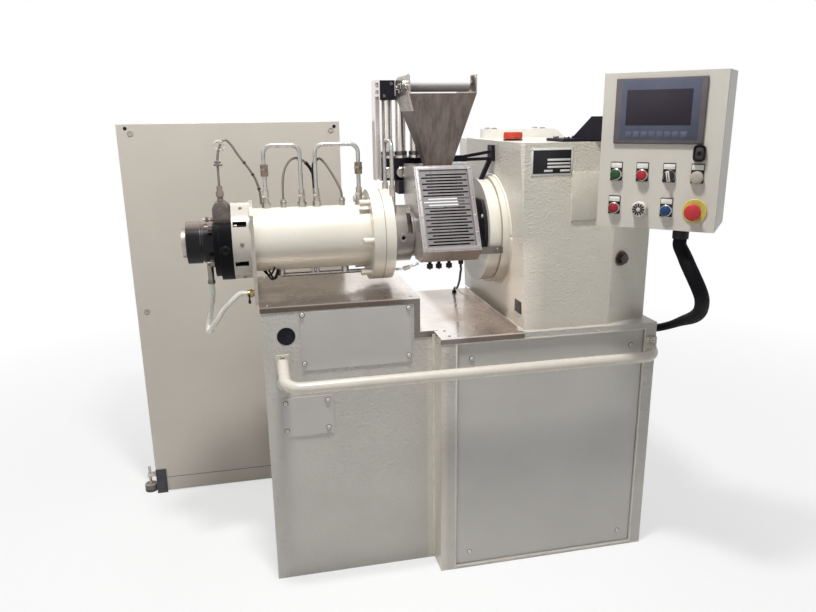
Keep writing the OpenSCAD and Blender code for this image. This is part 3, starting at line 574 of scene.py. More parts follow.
def socket_screw(radius, height, edge=0.0006, sides=24):
    """A round head with a hexagon socket pushed into it."""
    screw = turned([(radius, 0), (radius, height - edge), (radius - edge, height)], sides)
    clear_selection()
    bpy.context.view_layer.objects.active = screw
    screw.select_set(True)
    bpy.ops.object.mode_set(mode="EDIT")
    bpy.ops.mesh.select_all(action="DESELECT")
    bpy.ops.object.mode_set(mode="OBJECT")
    top = max(screw.data.polygons, key=lambda face: face.center.z + face.normal.z)
    top.select = True
    bpy.ops.object.mode_set(mode="EDIT")
    bpy.ops.mesh.inset(thickness=radius * 0.45)
    bpy.ops.mesh.extrude_region_move(TRANSFORM_OT_translate={"value": (0, 0, -height * 0.6)})
    bpy.ops.object.mode_set(mode="OBJECT")
    return screw


def placed(name, material, pattern, places, body="machine"):
    """Copies of a pattern at their places, finished as one piece."""
    return finished(spread(pattern, places), name, material, body)


# the round-headed screws of the cover plates, painted over with them, on both long sides alike
MM = 0.001
FRONT, BACK = (0, -1, 0), (0, 1, 0)
LEFT, RIGHT = (-1, 0, 0), (1, 0, 0)
UP, DOWN = (0, 0, 1), (0, 0, -1)
upper_cover = [(x, z) for x in (-464, -165) for z in (821, 679)]
small_cover = [(x, z) for x in (-523, -404) for z in (565, 481)]
side_panel = [(x, z) for x in (2, 497) for z in (677, 51)]
COVER_FACE, PANEL_FACE = 0.198, 0.267
places = [((x * MM, -COVER_FACE, z * MM), FRONT) for x, z in upper_cover + small_cover]
for side, way in ((-1, FRONT), (1, BACK)):
    places += [((x * MM, side * PANEL_FACE, z * MM), way) for x, z in side_panel]
screw_paint = stuff("screw_paint", (226, 223, 216), (206, 203, 196), 0.3, size=90, grain=900, bump=0.1,
    coat=0.3, layers=[dirt_and_shade(0.5, (120, 112, 100), reach=0.006)])
placed("cover_screws", screw_paint, socket_screw(0.0056, 0.0042, 0.0010, 20), places)
# a thin dark ring under each screw head: painted shadow round the head
screw_shadow_paint = stuff("screw_shadow_paint", (120, 114, 106), (98, 92, 84), 0.6, size=60, grain=600, bump=0.2, shine=0.2)
placed("screw_shadow_rings", screw_shadow_paint,
    turned([(0.0078, 0), (0.0078, 0.0003), (0.0074, 0.0005), (0.0050, 0.0005)], 24), places)
# raised lip round the recess of the large panel, on both long sides, lighter than the plate: a painted
# highlight where the recess edges catch the light
LIP_LEFT, LIP_RIGHT, LIP_FOOT, LIP_TOP, LIP_WIDE = -0.0470, 0.5420, 0.006, 0.728, 0.005
inner_foot, inner_top = LIP_FOOT + LIP_WIDE, LIP_TOP - LIP_WIDE
lip = []
for front, back in ((-0.2740, -0.2725), (0.2725, 0.2740)):
    for left, right, foot, top in (
        (LIP_LEFT, LIP_RIGHT, inner_top, LIP_TOP),
        (LIP_LEFT, LIP_RIGHT, LIP_FOOT, inner_foot),
        (LIP_LEFT, LIP_LEFT + LIP_WIDE, inner_foot, inner_top),
        (LIP_RIGHT - LIP_WIDE, LIP_RIGHT, inner_foot, inner_top),
    ):
        lip.append(slab((left, front, foot), (right, back, top), 0.0006))
lip_highlight_paint = stuff("lip_highlight_paint", (216, 212, 200), (204, 200, 188), 0.4, size=20, grain=400, bump=0.3,
    deep=0.0006, coat=0.25, layers=[dirt_and_shade(0.3, (150, 140, 120), reach=0.01)])
finished(joined(lip), "panel_lip", lip_highlight_paint)

# bead of filler and weld in the inner corner where the base widens, front and back
NARROW_END, NARROW_FACE = -0.089, 0.195


def uneven_bead(walked):
    """The radius of a bead laid by hand, up and down a little in two rhythms."""
    return 0.0070 + 0.0007 * math.sin(walked * 120) + 0.0005 * math.sin(walked * 47)


beads = []
for side in (-1, 1):
    line = [Vector((NARROW_END, side * NARROW_FACE, z * MM)) for z in range(4, 742, 6)]
    beads.append(lead("bead", line, uneven_bead))
bead = joined(beads)
corner_paint = stuff("corner_paint", (206, 201, 188), (198, 193, 180), 0.45, size=40, grain=300, bump=0.4,
    deep=0.001, coat=0.2, layers=[dirt_and_shade(0.3, (150, 140, 120))])
finished(bead, "corner_bead", corner_paint, smooth=60)

# rubber grommet pushed into the round cable hole, with a blank at its inner end
hole_rubber = stuff("hole_rubber", (30, 30, 38), (20, 20, 26), 0.6, shine=0.15, size=30, grain=700, bump=0.2)
placed("cable_hole_grommet", hole_rubber,
    turned([(0.0238, -0.002), (0.0252, -0.0012), (0.0252, 0.0006), (0.0236, 0.0014), (0.0222, 0.0012),
    (0.0219, -0.030), (0.0150, -0.0302)], 48), [((-0.510, -NARROW_FACE, 0.762), FRONT)])

# ---- Hand rail ----
# Bent steel tube on two bracket plates, sprayed gloss white, one socket screw in each plate.
rail_gloss = stuff("rail_gloss", (212, 205, 193), (202, 195, 183), 0.28, size=9, grain=260, bump=0.04,
    deep=0.0004, coat=0.4, layers=[dirt_and_shade(0.4, (150, 140, 122), reach=0.02), worn(0.15, (190, 184, 170))])
dress(rail_gloss, "hand_rail")
zinc = stuff("zinc_plate", (176, 172, 166), (150, 146, 140), 0.34, metallic=0.85, size=60, grain=700,
    bump=0.1, layers=[dirt_and_shade(0.6, (70, 62, 54), reach=0.006)])
placed("rail_screws", zinc, socket_screw(0.0065, 0.0045),
    [((-0.524, -0.201, 0.7015), FRONT), ((0.557, -0.279, 0.6915), FRONT)])
placed("rail_weld_rings", rail_gloss,
    turned([(0.0172, 0), (0.0205, 0.0008), (0.0200, 0.0035), (0.0165, 0.0062)], 32),
    [((-0.524, -0.1958, 0.6253), FRONT), ((0.557, -0.2738, 0.6440), FRONT)])

# ---- Drip tray ----
# Folded stainless sheet over the top of the base, polished and smeared with handling, with a painted
# warm sheen in the middle of the lower deck, screwed down at its corners.
# long scratches of a ground or brushed sheet: a noise drawn out along one axis
brushed, knob, ends = effect("brushed", {"X": 4.0, "Y": 400.0, "Z": 400.0}, ("Line",))
drawn = put(brushed, "CombineXYZ", {0: knob["X"], 1: knob["Y"], 2: knob["Z"]})
laid = put(brushed, "VectorMath", {0: own_place(brushed), 1: drawn.outputs[0]}, operation="MULTIPLY")
hairs = put(brushed, "TexNoise", {"Vector": laid.outputs[0], "Scale": 1.0, "Detail": 3.0, "Roughness": 0.7})
brushed.links.new(hairs.outputs["Fac"], ends.inputs["Line"])


def ground(x, y, z, light, amount=0.6, rough_by=0.10):
    """A layer of brush lines along the axis with the small number."""
    def lay(tree, mixed, dull, height):
        line = use(tree, brushed, X=x, Y=y, Z=z)["Line"]
        part = ramp(tree, line, 0.35, 0.7, high=amount)
        shift = ramp(tree, line, low=-rough_by, high=rough_by)
        return blend(tree, part, mixed, light), maths(tree, "ADD", dull, shift), line
    return lay


WIPED_DULL = 0.12


def smeared(colour, size, amount):
    """A layer of broad wipe marks and stains."""
    def lay(tree, mixed, dull, height):
        stain = use(tree, mottle, Size=size)["Tone"]
        part = maths(tree, "MULTIPLY", stain, amount)
        dull = maths(tree, "MULTIPLY_ADD", stain, WIPED_DULL, dull)
        return blend(tree, part, mixed, colour), dull, height
    return lay


tray_steel = stuff("tray_steel", (214, 204, 194), (172, 160, 150), 0.15, rough_change=0.05, metallic=0.96,
    size=7, bump=0.05, deep=0.0002,
    layers=[ground(2.0, 120.0, 120.0, (214, 207, 200), 0.35, 0.05), smeared((140, 123, 112), 3.2, 0.30),
    # the riser between the decks near white: painted highlight
    zone((-0.16, -0.30, 0.70), (-0.035, 0.30, 0.846), (252, 246, 240), 0.9, 0.03),
    # a lighter warm patch in the middle of the lower deck: painted sheen
    zone((0.02, -0.25, 0.70), (0.10, 0.05, 0.80), (228, 208, 194), 0.6, 0.05),
    smeared((222, 206, 196), 14.0, 0.3),
    # the left part of the high deck darker: painted dark reflection
    zone((-0.58, -0.30, 0.80), (-0.24, 0.30, 0.90), (126, 112, 100), 0.5, 0.10),
    # the front faces of the hems dark brown: painted dark reflection
    zone((-0.60, -0.1985, 0.70), (-0.08, -0.1960, 0.8440), (72, 60, 54), 0.85, 0.002),
    zone((-0.10, -0.2765, 0.70), (0.16, -0.2740, 0.7410), (72, 60, 54), 0.85, 0.002),
    dirt_and_shade(0.6, (96, 84, 74), reach=0.03)])
dress(tray_steel, "drip_tray")
LOW_DECK, HIGH_DECK = 0.746, 0.849
deck_corners = [(-62, 258, LOW_DECK), (118, 258, LOW_DECK), (-62, 206, LOW_DECK), (-556, 182, HIGH_DECK),
    (-156, 182, HIGH_DECK)]
placed("tray_screws", zinc,
    turned([(0.0042, 0), (0.0042, 0.0008), (0.0034, 0.0018), (0.0014, 0.0022)], 16),
    [((x * MM, side * y * MM, deck), UP) for x, y, deck in deck_corners for side in (-1, 1)])

# ---- Barrel, feed casting and gearbox flange ----
# Turned castings, sprayed together with one thick coat of cream machine enamel.
def seam(normal, offset, width, colour, amount=1.0, beyond=((0, 0, 1), -9.0)):
    """A layer with one thin joint line, in a plane given by normal and offset, beyond a second plane."""
    def lay(tree, mixed, dull, height):
        spot = own_place(tree)
        line = maths(tree, "COMPARE", level_along(tree, spot, normal), offset, width / 2)
        kept = maths(tree, "GREATER_THAN", level_along(tree, spot, beyond[0]), beyond[1])
        part = maths(tree, "MULTIPLY", maths(tree, "MULTIPLY", line, kept), amount)
        return blend(tree, part, mixed, colour), dull, height
    return lay


def hollow(ends, radius, colour, amount=1.0):
    """A layer of another colour nearer to the screw axis than a radius, between two ends."""
    def lay(tree, mixed, dull, height):
        spot = own_place(tree)
        across = put(tree, "VectorMath", {0: spot, 1: (0, 1, 1)}, operation="MULTIPLY").outputs[0]
        away = put(tree, "VectorMath", {0: across, 1: (0, 0, SCREW_AXIS)},
            operation="DISTANCE").outputs["Value"]
        deep = maths(tree, "LESS_THAN", away, radius)
        along = put(tree, "SeparateXYZ", {0: spot}).outputs[0]
        near = maths(tree, "COMPARE", along, sum(ends) / 2, (ends[1] - ends[0]) / 2)
        part = maths(tree, "MULTIPLY", maths(tree, "MULTIPLY", deep, near), amount)
        return blend(tree, part, mixed, colour), dull, height
    return lay


cream_enamel = stuff("cream_enamel", (222, 217, 205), (214, 208, 195), 0.28, size=4, grain=180, bump=0.12,
    deep=0.0006, coat=0.35,
    layers=[dirt_and_shade(0.45, (132, 118, 96), reach=0.04), worn(0.35, (236, 232, 218), reach=0.003),
    seam(RIGHT, -0.212, 0.0024, (120, 106, 88), 0.8), seam(RIGHT, 0.124, 0.0020, (128, 114, 94), 0.7),
    # the casting inside the guard near black: painted shade behind the slots
    zone((-0.1135, -0.30, 0.90), (0.0570, 0.30, 1.30), (24, 21, 22)),
    # the neck between the barrel flange and the guard darker, darkest next to the guard: painted shade under
    # the guard
    zone((-0.1815, -0.12, 0.90), (-0.1140, 0.12, 1.12), (112, 106, 101), 0.85, 0.002),
    zone((-0.1380, -0.12, 0.90), (-0.1140, 0.12, 1.12), (88, 80, 74), 0.6, 0.02),
    zone((-0.640, -0.20, 0.85), (-0.588, 0.20, 1.20), (170, 162, 152), 0.75, 0.0005),
    # the lower part of the gearbox flange darker: painted shade
    zone((0.080, -0.20, 0.80), (0.170, 0.20, 0.905), (150, 140, 128), 0.6, 0.02),
    # inside the pockets of the die ring near black: painted shade in the pockets
    hollow((-0.636, -0.590), 0.1085, (34, 30, 30))])
dress(cream_enamel, "barrel", "feed_casting", "gearbox_flange", "die_head_ring")
plate_cream = stuff("plate_cream", (190, 184, 173), (166, 160, 150), 0.4, size=7, grain=300, bump=0.1,
    layers=[dirt_and_shade(0.5, (110, 98, 84)), worn(0.5, (205, 200, 192), reach=0.003)])
dress(plate_cream, "barrel_support_plate")


def about(x, radius, degrees):
    """A point round the screw axis; 0 looks to the operator, 90 straight up."""
    a = math.radians(degrees)
    return (x * MM, -radius * MM * math.cos(a), SCREW_AXIS + radius * MM * math.sin(a))


# socket heads of the six flange screws, on the barrel's side, painted over
placed("flange_screw_heads", cream_enamel, socket_screw(0.0098, 0.010, 0.0010, 30),
    [(about(-266, 117, a), LEFT) for a in range(-60, 241, 60)])
# a boss round the hole of the neck, and the end of the hole, dark: painted shade in the hole
NECK_HOLE = (-0.152, -0.0836, SCREW_AXIS - 0.0024)
placed("neck_boss", cream_enamel,
    turned([(0.0135, -0.010), (0.0135, 0.0), (0.0120, 0.0018), (0.0072, 0.0018), (0.0064, 0.0006),
    (0.0058, -0.008)], 36), [(NECK_HOLE, FRONT)])
recess_shade_paint = stuff("recess_shade_paint", (28, 24, 24), (18, 16, 16), 0.7, shine=0.1, size=50, grain=500, bump=0.2)
placed("neck_hole", recess_shade_paint,
    turned([(0.0056, -0.012), (0.0056, -0.006), (0.0020, -0.0058)], 20), [(NECK_HOLE, FRONT)])

# ---- Die head ----
# Cream ring with six milled pockets, a screw in each; black-oxide clamp flange and nozzle with a bright
# ring; steel hinge lug with its pin, four hexagon nuts and a clamp screw.
oxide = stuff("black_oxide", (13, 11, 13), (9, 8, 10), 0.24, metallic=0.3, size=14, grain=500, bump=0.06,
    coat=0.15, shine=0.2,
    layers=[smeared((26, 22, 22), 9.0, 0.3), worn(0.55, (140, 126, 116), reach=0.003, size=40),
    # a lighter brown band along the top of the nozzle: painted highlight
    zone((-0.80, -0.20, 1.057), (-0.66, 0.20, 1.10), (160, 142, 130), 0.62, 0.012)])
dress(oxide, "die_nozzle")
flange_black = stuff("flange_black", (9, 8, 12), (6, 6, 9), 0.34, size=14, grain=500, bump=0.1, shine=0.08,
    layers=[smeared((18, 16, 19), 9.0, 0.3), worn(0.35, (130, 118, 110), reach=0.003, size=40)])
dress(flange_black, "die_flange")
bright_steel = stuff("bright_steel", (190, 184, 178), (160, 152, 146), 0.26, metallic=0.95, size=20,
    grain=800, bump=0.06, layers=[smeared((130, 118, 108), 24.0, 0.4), dirt_and_shade(0.6, (70, 60, 52), reach=0.01)])
dress(bright_steel, "nozzle_ring")
lug_steel = stuff("lug_steel", (132, 122, 116), (98, 90, 86), 0.24, metallic=0.95, size=24, grain=600,
    bump=0.1, layers=[dirt_and_shade(0.7, (40, 34, 32), reach=0.02), worn(0.5, (196, 188, 180), reach=0.003)])
dress(lug_steel, "head_hinge_lug")
dark_steel = stuff("dark_steel", (128, 120, 114), (96, 88, 82), 0.36, metallic=0.9, size=60, grain=600,
    bump=0.15, layers=[dirt_and_shade(0.6, (44, 38, 34), reach=0.008), worn(0.6, (196, 190, 182), reach=0.0015)])
dress(dark_steel, "die_nuts")

# dark studs that lie in the open pockets, and the screws that close them
pocket_angles = range(-27, 274, 60)
placed("pocket_studs", flange_black,
    turned([(0.0036, 0), (0.0044, 0.0008), (0.0044, 0.0270), (0.0036, 0.0278)], 20),
    [(about(-629, 97, a), RIGHT) for a in pocket_angles])
placed("pocket_screws", dark_steel, socket_screw(0.0066, 0.0100, 0.0006),
    [(about(-622, 96, a), LEFT) for a in pocket_angles])
# flat set screws on the ring between the pockets
set_places = [(about(-611, 108.6, a), Vector(about(0, 1000, a)) - Vector(about(0, 0, a)))
    for a in (3, 63, 117, 183, 243, 297)]
placed("ring_set_screws", dark_steel, socket_screw(0.0052, 0.0030, 0.0005), set_places)
# large blackened socket screw in the rim of the clamp flange
placed("rim_clamp_screw", flange_black, socket_screw(0.0118, 0.0035, 0.0012, 36),
    [((-0.657, -0.1236, 0.996), FRONT)])
# the pin through the hinge lug, and the clamp ring of the outlet
pin_steps = [(0.0066, -0.042), (0.0066, -0.036), (0.0105, -0.036), (0.0105, 0.036), (0.0066, 0.036),
    (0.0066, 0.042)]
placed("hinge_pin", dark_steel, turned(pin_steps), [((-0.664, 0, 1.094), BACK)])
clamp_steps = [(0.0098, 0), (0.0108, 0.001), (0.0108, 0.009), (0.0098, 0.010)]
placed("outlet_clamp", dark_steel, turned(clamp_steps), [((-0.706, -0.020, 0.894), DOWN)])
# screws that hold the lug down on the flange
placed("lug_screws", dark_steel, socket_screw(0.0055, 0.0050, 0.0005),
    [((x, y, 1.078), UP) for x in (-0.6795, -0.6455) for y in (-0.026, 0.026)])
# little blue air fitting with a nut and a white tail beside the lug
AIR_FITTING = (-0.699, -0.030, 1.0705)
blue_plastic = stuff("fitting_blue", (40, 66, 128), (30, 50, 104), 0.35, shine=0.3, size=80, grain=600,
    bump=0.08)
placed("air_fitting_ring", blue_plastic,
    turned([(0.0040, 0), (0.0052, 0.0006), (0.0052, 0.0070), (0.0040, 0.0080)], 20), [(AIR_FITTING, LEFT)])
white_plastic = stuff("white_plastic", (226, 222, 214), (214, 209, 200), 0.35, size=50, grain=700, bump=0.06,
    layers=[dirt_and_shade(0.4, (150, 140, 126), reach=0.008)])
placed("air_fitting_tail", white_plastic,
    turned([(0.0024, -0.004), (0.0024, 0.016), (0.0014, 0.017)], 16), [(AIR_FITTING, LEFT)])
placed("air_fitting_nut", dark_steel,
    turned([(0.0058, -0.0095), (0.0070, -0.0088), (0.0070, -0.0012), (0.0058, 0)], 6),
    [(AIR_FITTING, RIGHT)])
# lock lever and its hub at the brass tail on the support plate
brass = stuff("brass", (168, 140, 98), (136, 110, 74), 0.3, metallic=0.9, size=50, grain=700, bump=0.1,
    layers=[zone((-0.80, -0.06, 0.80), (-0.66, 0.02, 0.98), (132, 126, 120)),
    dirt_and_shade(0.5, (70, 52, 32), reach=0.01)])
dress(brass, "hose_elbow")
lever = joined([slab((-0.6045, -0.096, 0.8445), (-0.5995, -0.090, 0.8625), 0.0012, 3),
    slab((-0.6060, -0.098, 0.8360), (-0.5980, -0.088, 0.8450), 0.0022, 3)])
dark_plastic = stuff("dark_plastic", (34, 33, 38), (26, 25, 29), 0.5, shine=0.18, size=30, grain=800,
    bump=0.12, layers=[worn(0.3, (70, 68, 74), reach=0.002)])
finished(lever, "tail_lever", dark_plastic)
# cable clamp of the head sensor, a spare wire in a loose ring, and ties along the lead
clamp = joined([slab((-0.6745, -0.008, 1.2150), (-0.6510, 0.008, 1.2215), 0.0012, 3),
    slab((-0.6720, -0.0065, 1.2230), (-0.6545, 0.0065, 1.2290), 0.0012, 3)])
finished(clamp, "sensor_clamp", dark_steel)
RING_X, RING_Z, RING_RADIUS, RING_TURNS, RING_START = -0.6560, 1.2700, 0.0155, 1.7, -0.9
ring_line = []
for k in range(81):
    a = math.tau * k / 40 * RING_TURNS + RING_START
    ring_line.append(Vector((RING_X + RING_RADIUS * math.cos(a), 0.003 * math.sin(1.5 * a), RING_Z
        + (RING_RADIUS - 0.0004 * a) * math.sin(a))))
wire_white = stuff("wire_white", (214, 208, 198), (190, 184, 174), 0.4, size=90, grain=900, bump=0.05)
finished(lead("spare_wire_ring", ring_line, 0.0015, 8), "spare_wire_ring", wire_white,
    smooth=0)
ties = []
sensor_line = along_route(sensor_route)[0]
for share in (0.62, 0.74, 0.86):
    i = round(share * len(sensor_line))
    ties.append((sensor_line[i], sensor_line[i + 1] - sensor_line[i]))
placed("cable_ties", dark_plastic,
    turned([(0.0038, -0.0022), (0.0050, -0.0018), (0.0050, 0.0018), (0.0038, 0.0022)], 20), ties)

# ---- Cooling tubes ----
# Drawn steel tube bent into hoops, zinc plated, with nuts and sensor fittings screwed into the barrel.
tube_zinc = stuff("tube_zinc", (180, 178, 176), (158, 155, 152), 0.26, metallic=0.9, size=26, grain=700,
    bump=0.06,
    layers=[ground(300.0, 300.0, 10.0, (206, 205, 203), 0.5), dirt_and_shade(0.5, (84, 76, 68), reach=0.012)])
dress(tube_zinc, "cooling_tubes")
nut_zinc = stuff("nut_zinc", (196, 189, 180), (164, 156, 146), 0.30, metallic=0.9, size=60, grain=600,
    bump=0.12, layers=[zone((-0.60, -0.02, 1.170), (-0.20, 0.02, 1.30), (122, 106, 92), 0.9),
    dirt_and_shade(0.6, (60, 50, 42), reach=0.01), worn(0.5, (214, 208, 200), reach=0.0015)])
dress(nut_zinc, "tube_fittings")
# turned collars on the nuts and a knurled ring on each sensor fitting
collar = turned([(0.0066, 0), (0.0118, 0.0004), (0.0126, 0.0022), (0.0126, 0.0078), (0.0118, 0.0096),
    (0.0066, 0.0100)], 6)
low_nuts = [((x, 0, 1.1185), UP) for x in (-0.537, -0.435, -0.392, -0.267)]
high_nuts = [((x, 0, 1.1950), UP) for x in (-0.537, -0.267)]
placed("union_nuts", nut_zinc, collar, low_nuts + high_nuts)
placed("sensor_caps", bright_steel,
    turned([(0.0082, 0), (0.0094, 0.0008), (0.0094, 0.0052), (0.0082, 0.0060), (0.0050, 0.0085),
    (0.0044, 0.0120)], 24), [((x, 0, 1.1045), UP) for x in (-0.488, -0.318)])
# blanked pipe from under the barrel flange to the guard, with its coupling
COUPLING = (-0.1500, -0.108, 0.9165)
link_line = [Vector(p)
    for p in ((-0.1810, -0.100, 0.9120), (-0.1660, -0.104, 0.9130), COUPLING, (-0.1330, -0.113, 0.9230),
    (-0.1160, -0.118, 0.9300))]
link_pipe = lead("guard_link_pipe", link_line, 0.0035, 16)
finished(link_pipe, "guard_link_pipe", tube_zinc, smooth=0)
placed("guard_link_coupling", nut_zinc,
    turned([(0.0050, -0.010), (0.0066, -0.009), (0.0066, 0.009), (0.0050, 0.010)], 6),
    [(COUPLING, (0.9, -0.25, 0.32))])
# wires in a bunch under the front end of the barrel, each hanging in its own swing
bunch = []
wire_starts = ((-0.566, -0.030, 0.930, 0.030), (-0.556, -0.034, 0.922, 0.024),
    (-0.548, -0.026, 0.926, 0.034))
for k, (x, y, z, swing) in enumerate(wire_starts):
    points = []
    for s in [j / 4 for j in range(17)]:
        points.append(Vector((x + 0.010 * s, y + swing * math.sin(s * 1.3 + k),
            z - 0.030 * math.sin(s * 0.78))))
    bunch.append(lead("wire", points, 0.0028, 10))
finished(joined(bunch), "under_barrel_wires", cable_rubber, smooth=0)

# ---- Slotted guard ----
# Stainless sheet, folded and spot welded, with a pressed rim and punched slots, wiped to a satin sheen.
guard_fold, guard_top = Vector((0, -0.175, 0.970)), Vector((0, -0.058, 1.203))
face_length = (guard_top - guard_fold).length
up_slope = (guard_top - guard_fold).normalized()
GUARD_OUT = (0, -up_slope.z, up_slope.y)
GUARD_LEVEL = Vector(GUARD_OUT).dot(guard_fold)
BACKWARD = tuple(-part for part in GUARD_OUT)
guard_steel = stuff("guard_steel", (176, 172, 172), (152, 147, 147), 0.27, metallic=0.88, size=9, bump=0.12,
    deep=0.0003, layers=[ground(120.0, 6.0, 6.0, (190, 187, 187), 0.35), smeared((150, 138, 130), 6.0, 0.35),
    dirt_and_shade(0.55, (84, 76, 70), reach=0.02), worn(0.5, (226, 222, 218), reach=0.002),
    # the slotted face inside the rim darker: painted dark reflection, so the rim reads bright
    zone((-0.1000, -0.30, 0.985), (0.0430, 0.10, 1.188), (104, 100, 102), 0.6, 0.004,
    (BACKWARD, 0.0012 - GUARD_LEVEL)),
    # the left side of the guard near white: painted sheen
    zone((-0.1300, -0.30, 0.90), (-0.1136, 0.10, 1.21), (250, 246, 243), 0.92, 0.0003),
    # everything behind the slotted face near black: painted shade inside the guard
    zone((-0.1122, -0.30, 0.9370), (0.0562, 0.0782, 1.2012), (16, 14, 16), 1.0, 0.0002,
    (GUARD_OUT, GUARD_LEVEL - 0.0016)),
    # the lower fold under the face lighter: painted reflection
    zone((-0.1136, -0.30, 0.90), (0.0576, -0.130, 0.9690), (186, 175, 168), 0.9, 0.0005)])
dress(guard_steel, "slotted_guard")
face_turn = Matrix((RIGHT, up_slope, GUARD_OUT)).transposed().to_4x4()
on_face = Matrix.Translation((-0.114, guard_fold.y, guard_fold.z)) @ face_turn
# half-round pressed rim on top of the sheet's raised edge
clear_selection()
bpy.ops.mesh.primitive_plane_add(size=1, location=(0, 0, 0))
rim = bpy.context.object
rim.scale = (0.1640, face_length - 0.008, 1)
bpy.ops.object.transform_apply()
bpy.ops.object.mode_set(mode="EDIT")
bpy.ops.mesh.select_all(action="SELECT")
bpy.ops.mesh.inset(thickness=0.0100)
bpy.ops.mesh.delete(type="FACE")
bpy.ops.mesh.select_all(action="SELECT")
bpy.ops.mesh.extrude_region_move(TRANSFORM_OT_translate={"value": (0, 0, 0.0022)})
bpy.ops.mesh.select_all(action="SELECT")
bpy.ops.mesh.normals_make_consistent(inside=False)
bpy.ops.object.mode_set(mode="OBJECT")
rounded(rim, 0.0018, 3)
rim.matrix_world = on_face @ Matrix.Translation((0.086, face_length / 2, 0.0022))
finished(joined([rim]), "guard_rim", guard_steel)
# rivets down both sides of the face, and on both cheeks
rivet = turned([(0.0030, 0), (0.0030, 0.0004), (0.0022, 0.0012), (0.0008, 0.0015)], 14)
END_INSET = 0.012
rivet_rows = [face_length * k / 5 for k in range(6)]
rivet_rows[0] += END_INSET
rivet_rows[5] -= END_INSET
rivets = [(tuple(on_face @ Vector((x, up, 0.0043))), GUARD_OUT) for x in (0.0075, 0.1645)
    for up in rivet_rows]
for k in range(6):
    rivets += [((x, -0.052 - 0.020 * k, 1.186 - 0.040 * k), way)
        for x, way in ((-0.1145, LEFT), (0.0585, RIGHT))]
placed("guard_rivets", bright_steel, rivet, rivets)
# black knobs under the guard, with a steel stud showing under each
dress(dark_plastic, "guard_knobs")
placed("knob_stud_ends", bright_steel,
    turned([(0.0030, -0.002), (0.0030, 0.0040), (0.0020, 0.0050)], 16),
    [((x * MM, -0.118, 0.9135), DOWN) for x in (-82, -55, -24)])
# strap from the guard to the gearbox flange, with its screw
strap_steel = stuff("strap_steel", (120, 114, 110), (98, 92, 88), 0.34, metallic=0.9, size=30, grain=500,
    bump=0.1, layers=[worn(0.6, (190, 184, 176), reach=0.002)])
dress(strap_steel, "guard_bar")
placed("strap_screw", dark_steel, socket_screw(0.0056, 0.0034),
    [((0.110, -0.162, 0.965), FRONT)])

# ---- Hopper and guide roller ----
# Stainless funnel with folded cheeks that carry a white plastic roller, the sheet brushed up and down
# and dark all over.
hopper_steel = stuff("hopper_steel", (110, 98, 93), (88, 77, 73), 0.36, metallic=0.85, size=6, bump=0.14,
    deep=0.0003, layers=[ground(60.0, 60.0, 2.0, (160, 149, 141), 0.55), smeared((98, 86, 80), 5.0, 0.45),
    worn(0.5, (206, 200, 192), reach=0.002)])
dress(hopper_steel, "hopper")
cheek_steel = stuff("cheek_steel", (196, 190, 184), (170, 162, 154), 0.22, metallic=0.9, size=12, bump=0.02,
    deep=0.0002,
    layers=[ground(90.0, 4.0, 90.0, (214, 210, 205), 0.2, 0.03), smeared((132, 120, 110), 10.0, 0.4),
    worn(0.5, (226, 222, 216), reach=0.002)])
dress(cheek_steel, "roller_side_plates")
roller_plastic = stuff("roller_plastic", (255, 254, 252), (250, 248, 245), 0.42, size=20, grain=500,
    bump=0.06, layers=[dirt_and_shade(0.15, (180, 170, 158), reach=0.01)])
dress(roller_plastic, "guide_roller")
# turned end rings on the roller, which ride with it
ROLLER_Y, ROLLER_Z = -0.045, 1.434
end_ring = turned([(0.0090, 0), (0.0234, 0.0004), (0.0242, 0.0014), (0.0230, 0.0030), (0.0090, 0.0034)], 40)
placed("roller_end_rings", bright_steel, end_ring,
    [((-0.1235, ROLLER_Y, ROLLER_Z), LEFT), ((0.0505, ROLLER_Y, ROLLER_Z), RIGHT)], body="roller")
# a hooked latch with its nut outside the left cheek, and two socket screws in each cheek
latch = [slab((-0.1375, 0.002, 1.4180), (-0.1325, 0.046, 1.4340), 0.0020, 3),
    slab((-0.1375, 0.026, 1.4080), (-0.1325, 0.040, 1.4200), 0.0020, 3)]
finished(joined(latch), "cheek_latch", bright_steel)
cheek_places = [((x, y, 1.424), way) for x, way in ((-0.1325, LEFT), (0.0625, RIGHT))
    for y in (-0.060, 0.070)]
placed("cheek_screws", bright_steel, socket_screw(0.0070, 0.0050, 0.0006), cheek_places)
placed("latch_nut", dark_steel,
    turned([(0.0052, 0), (0.0062, 0.0006), (0.0062, 0.0044), (0.0050, 0.0052)], 6),
    [((-0.1375, 0.014, 1.4260), LEFT)])

# ---- Feed columns ----
# Hard-chromed guide columns with collars between black blocks, a folded upright at the left.
chrome = stuff("chromed_column", (246, 242, 238), (232, 227, 222), 0.14, rough_change=0.04, metallic=0.8,
    size=12, grain=900, bump=0.03,
    layers=[smeared((150, 138, 126), 9.0, 0.3), dirt_and_shade(0.5, (70, 62, 56), reach=0.012),
    # the folded upright at the left a little darker: painted shade
    zone((-0.1990, 0.05, 1.10), (-0.1805, 0.20, 1.50), (240, 233, 232), 0.75)])
dress(chrome, "feed_columns")
block_black = stuff("block_black", (33, 28, 38), (24, 21, 28), 0.48, shine=0.14, size=18, grain=500,
    bump=0.08, layers=[worn(0.5, (110, 102, 104), reach=0.002)])
dress(block_black, "column_blocks", "hopper_arm", "panel_bracket")
placed("block_caps", bright_steel,
    turned([(0.0150, 0), (0.0170, 0.0006), (0.0170, 0.0050), (0.0150, 0.0066), (0.0100, 0.0066),
    (0.0090, 0.0040), (0.0020, 0.0038)], 32), [((x * MM, 0.0955, 1.175), FRONT) for x in (-159, -117)])
placed("column_rings", dark_steel,
    turned([(0.0165, 0), (0.0200, 0.0006), (0.0200, 0.0120), (0.0165, 0.0126)], 36),
    [((x * MM, 0.127, 1.226), UP) for x in (-155, -113, -67)])
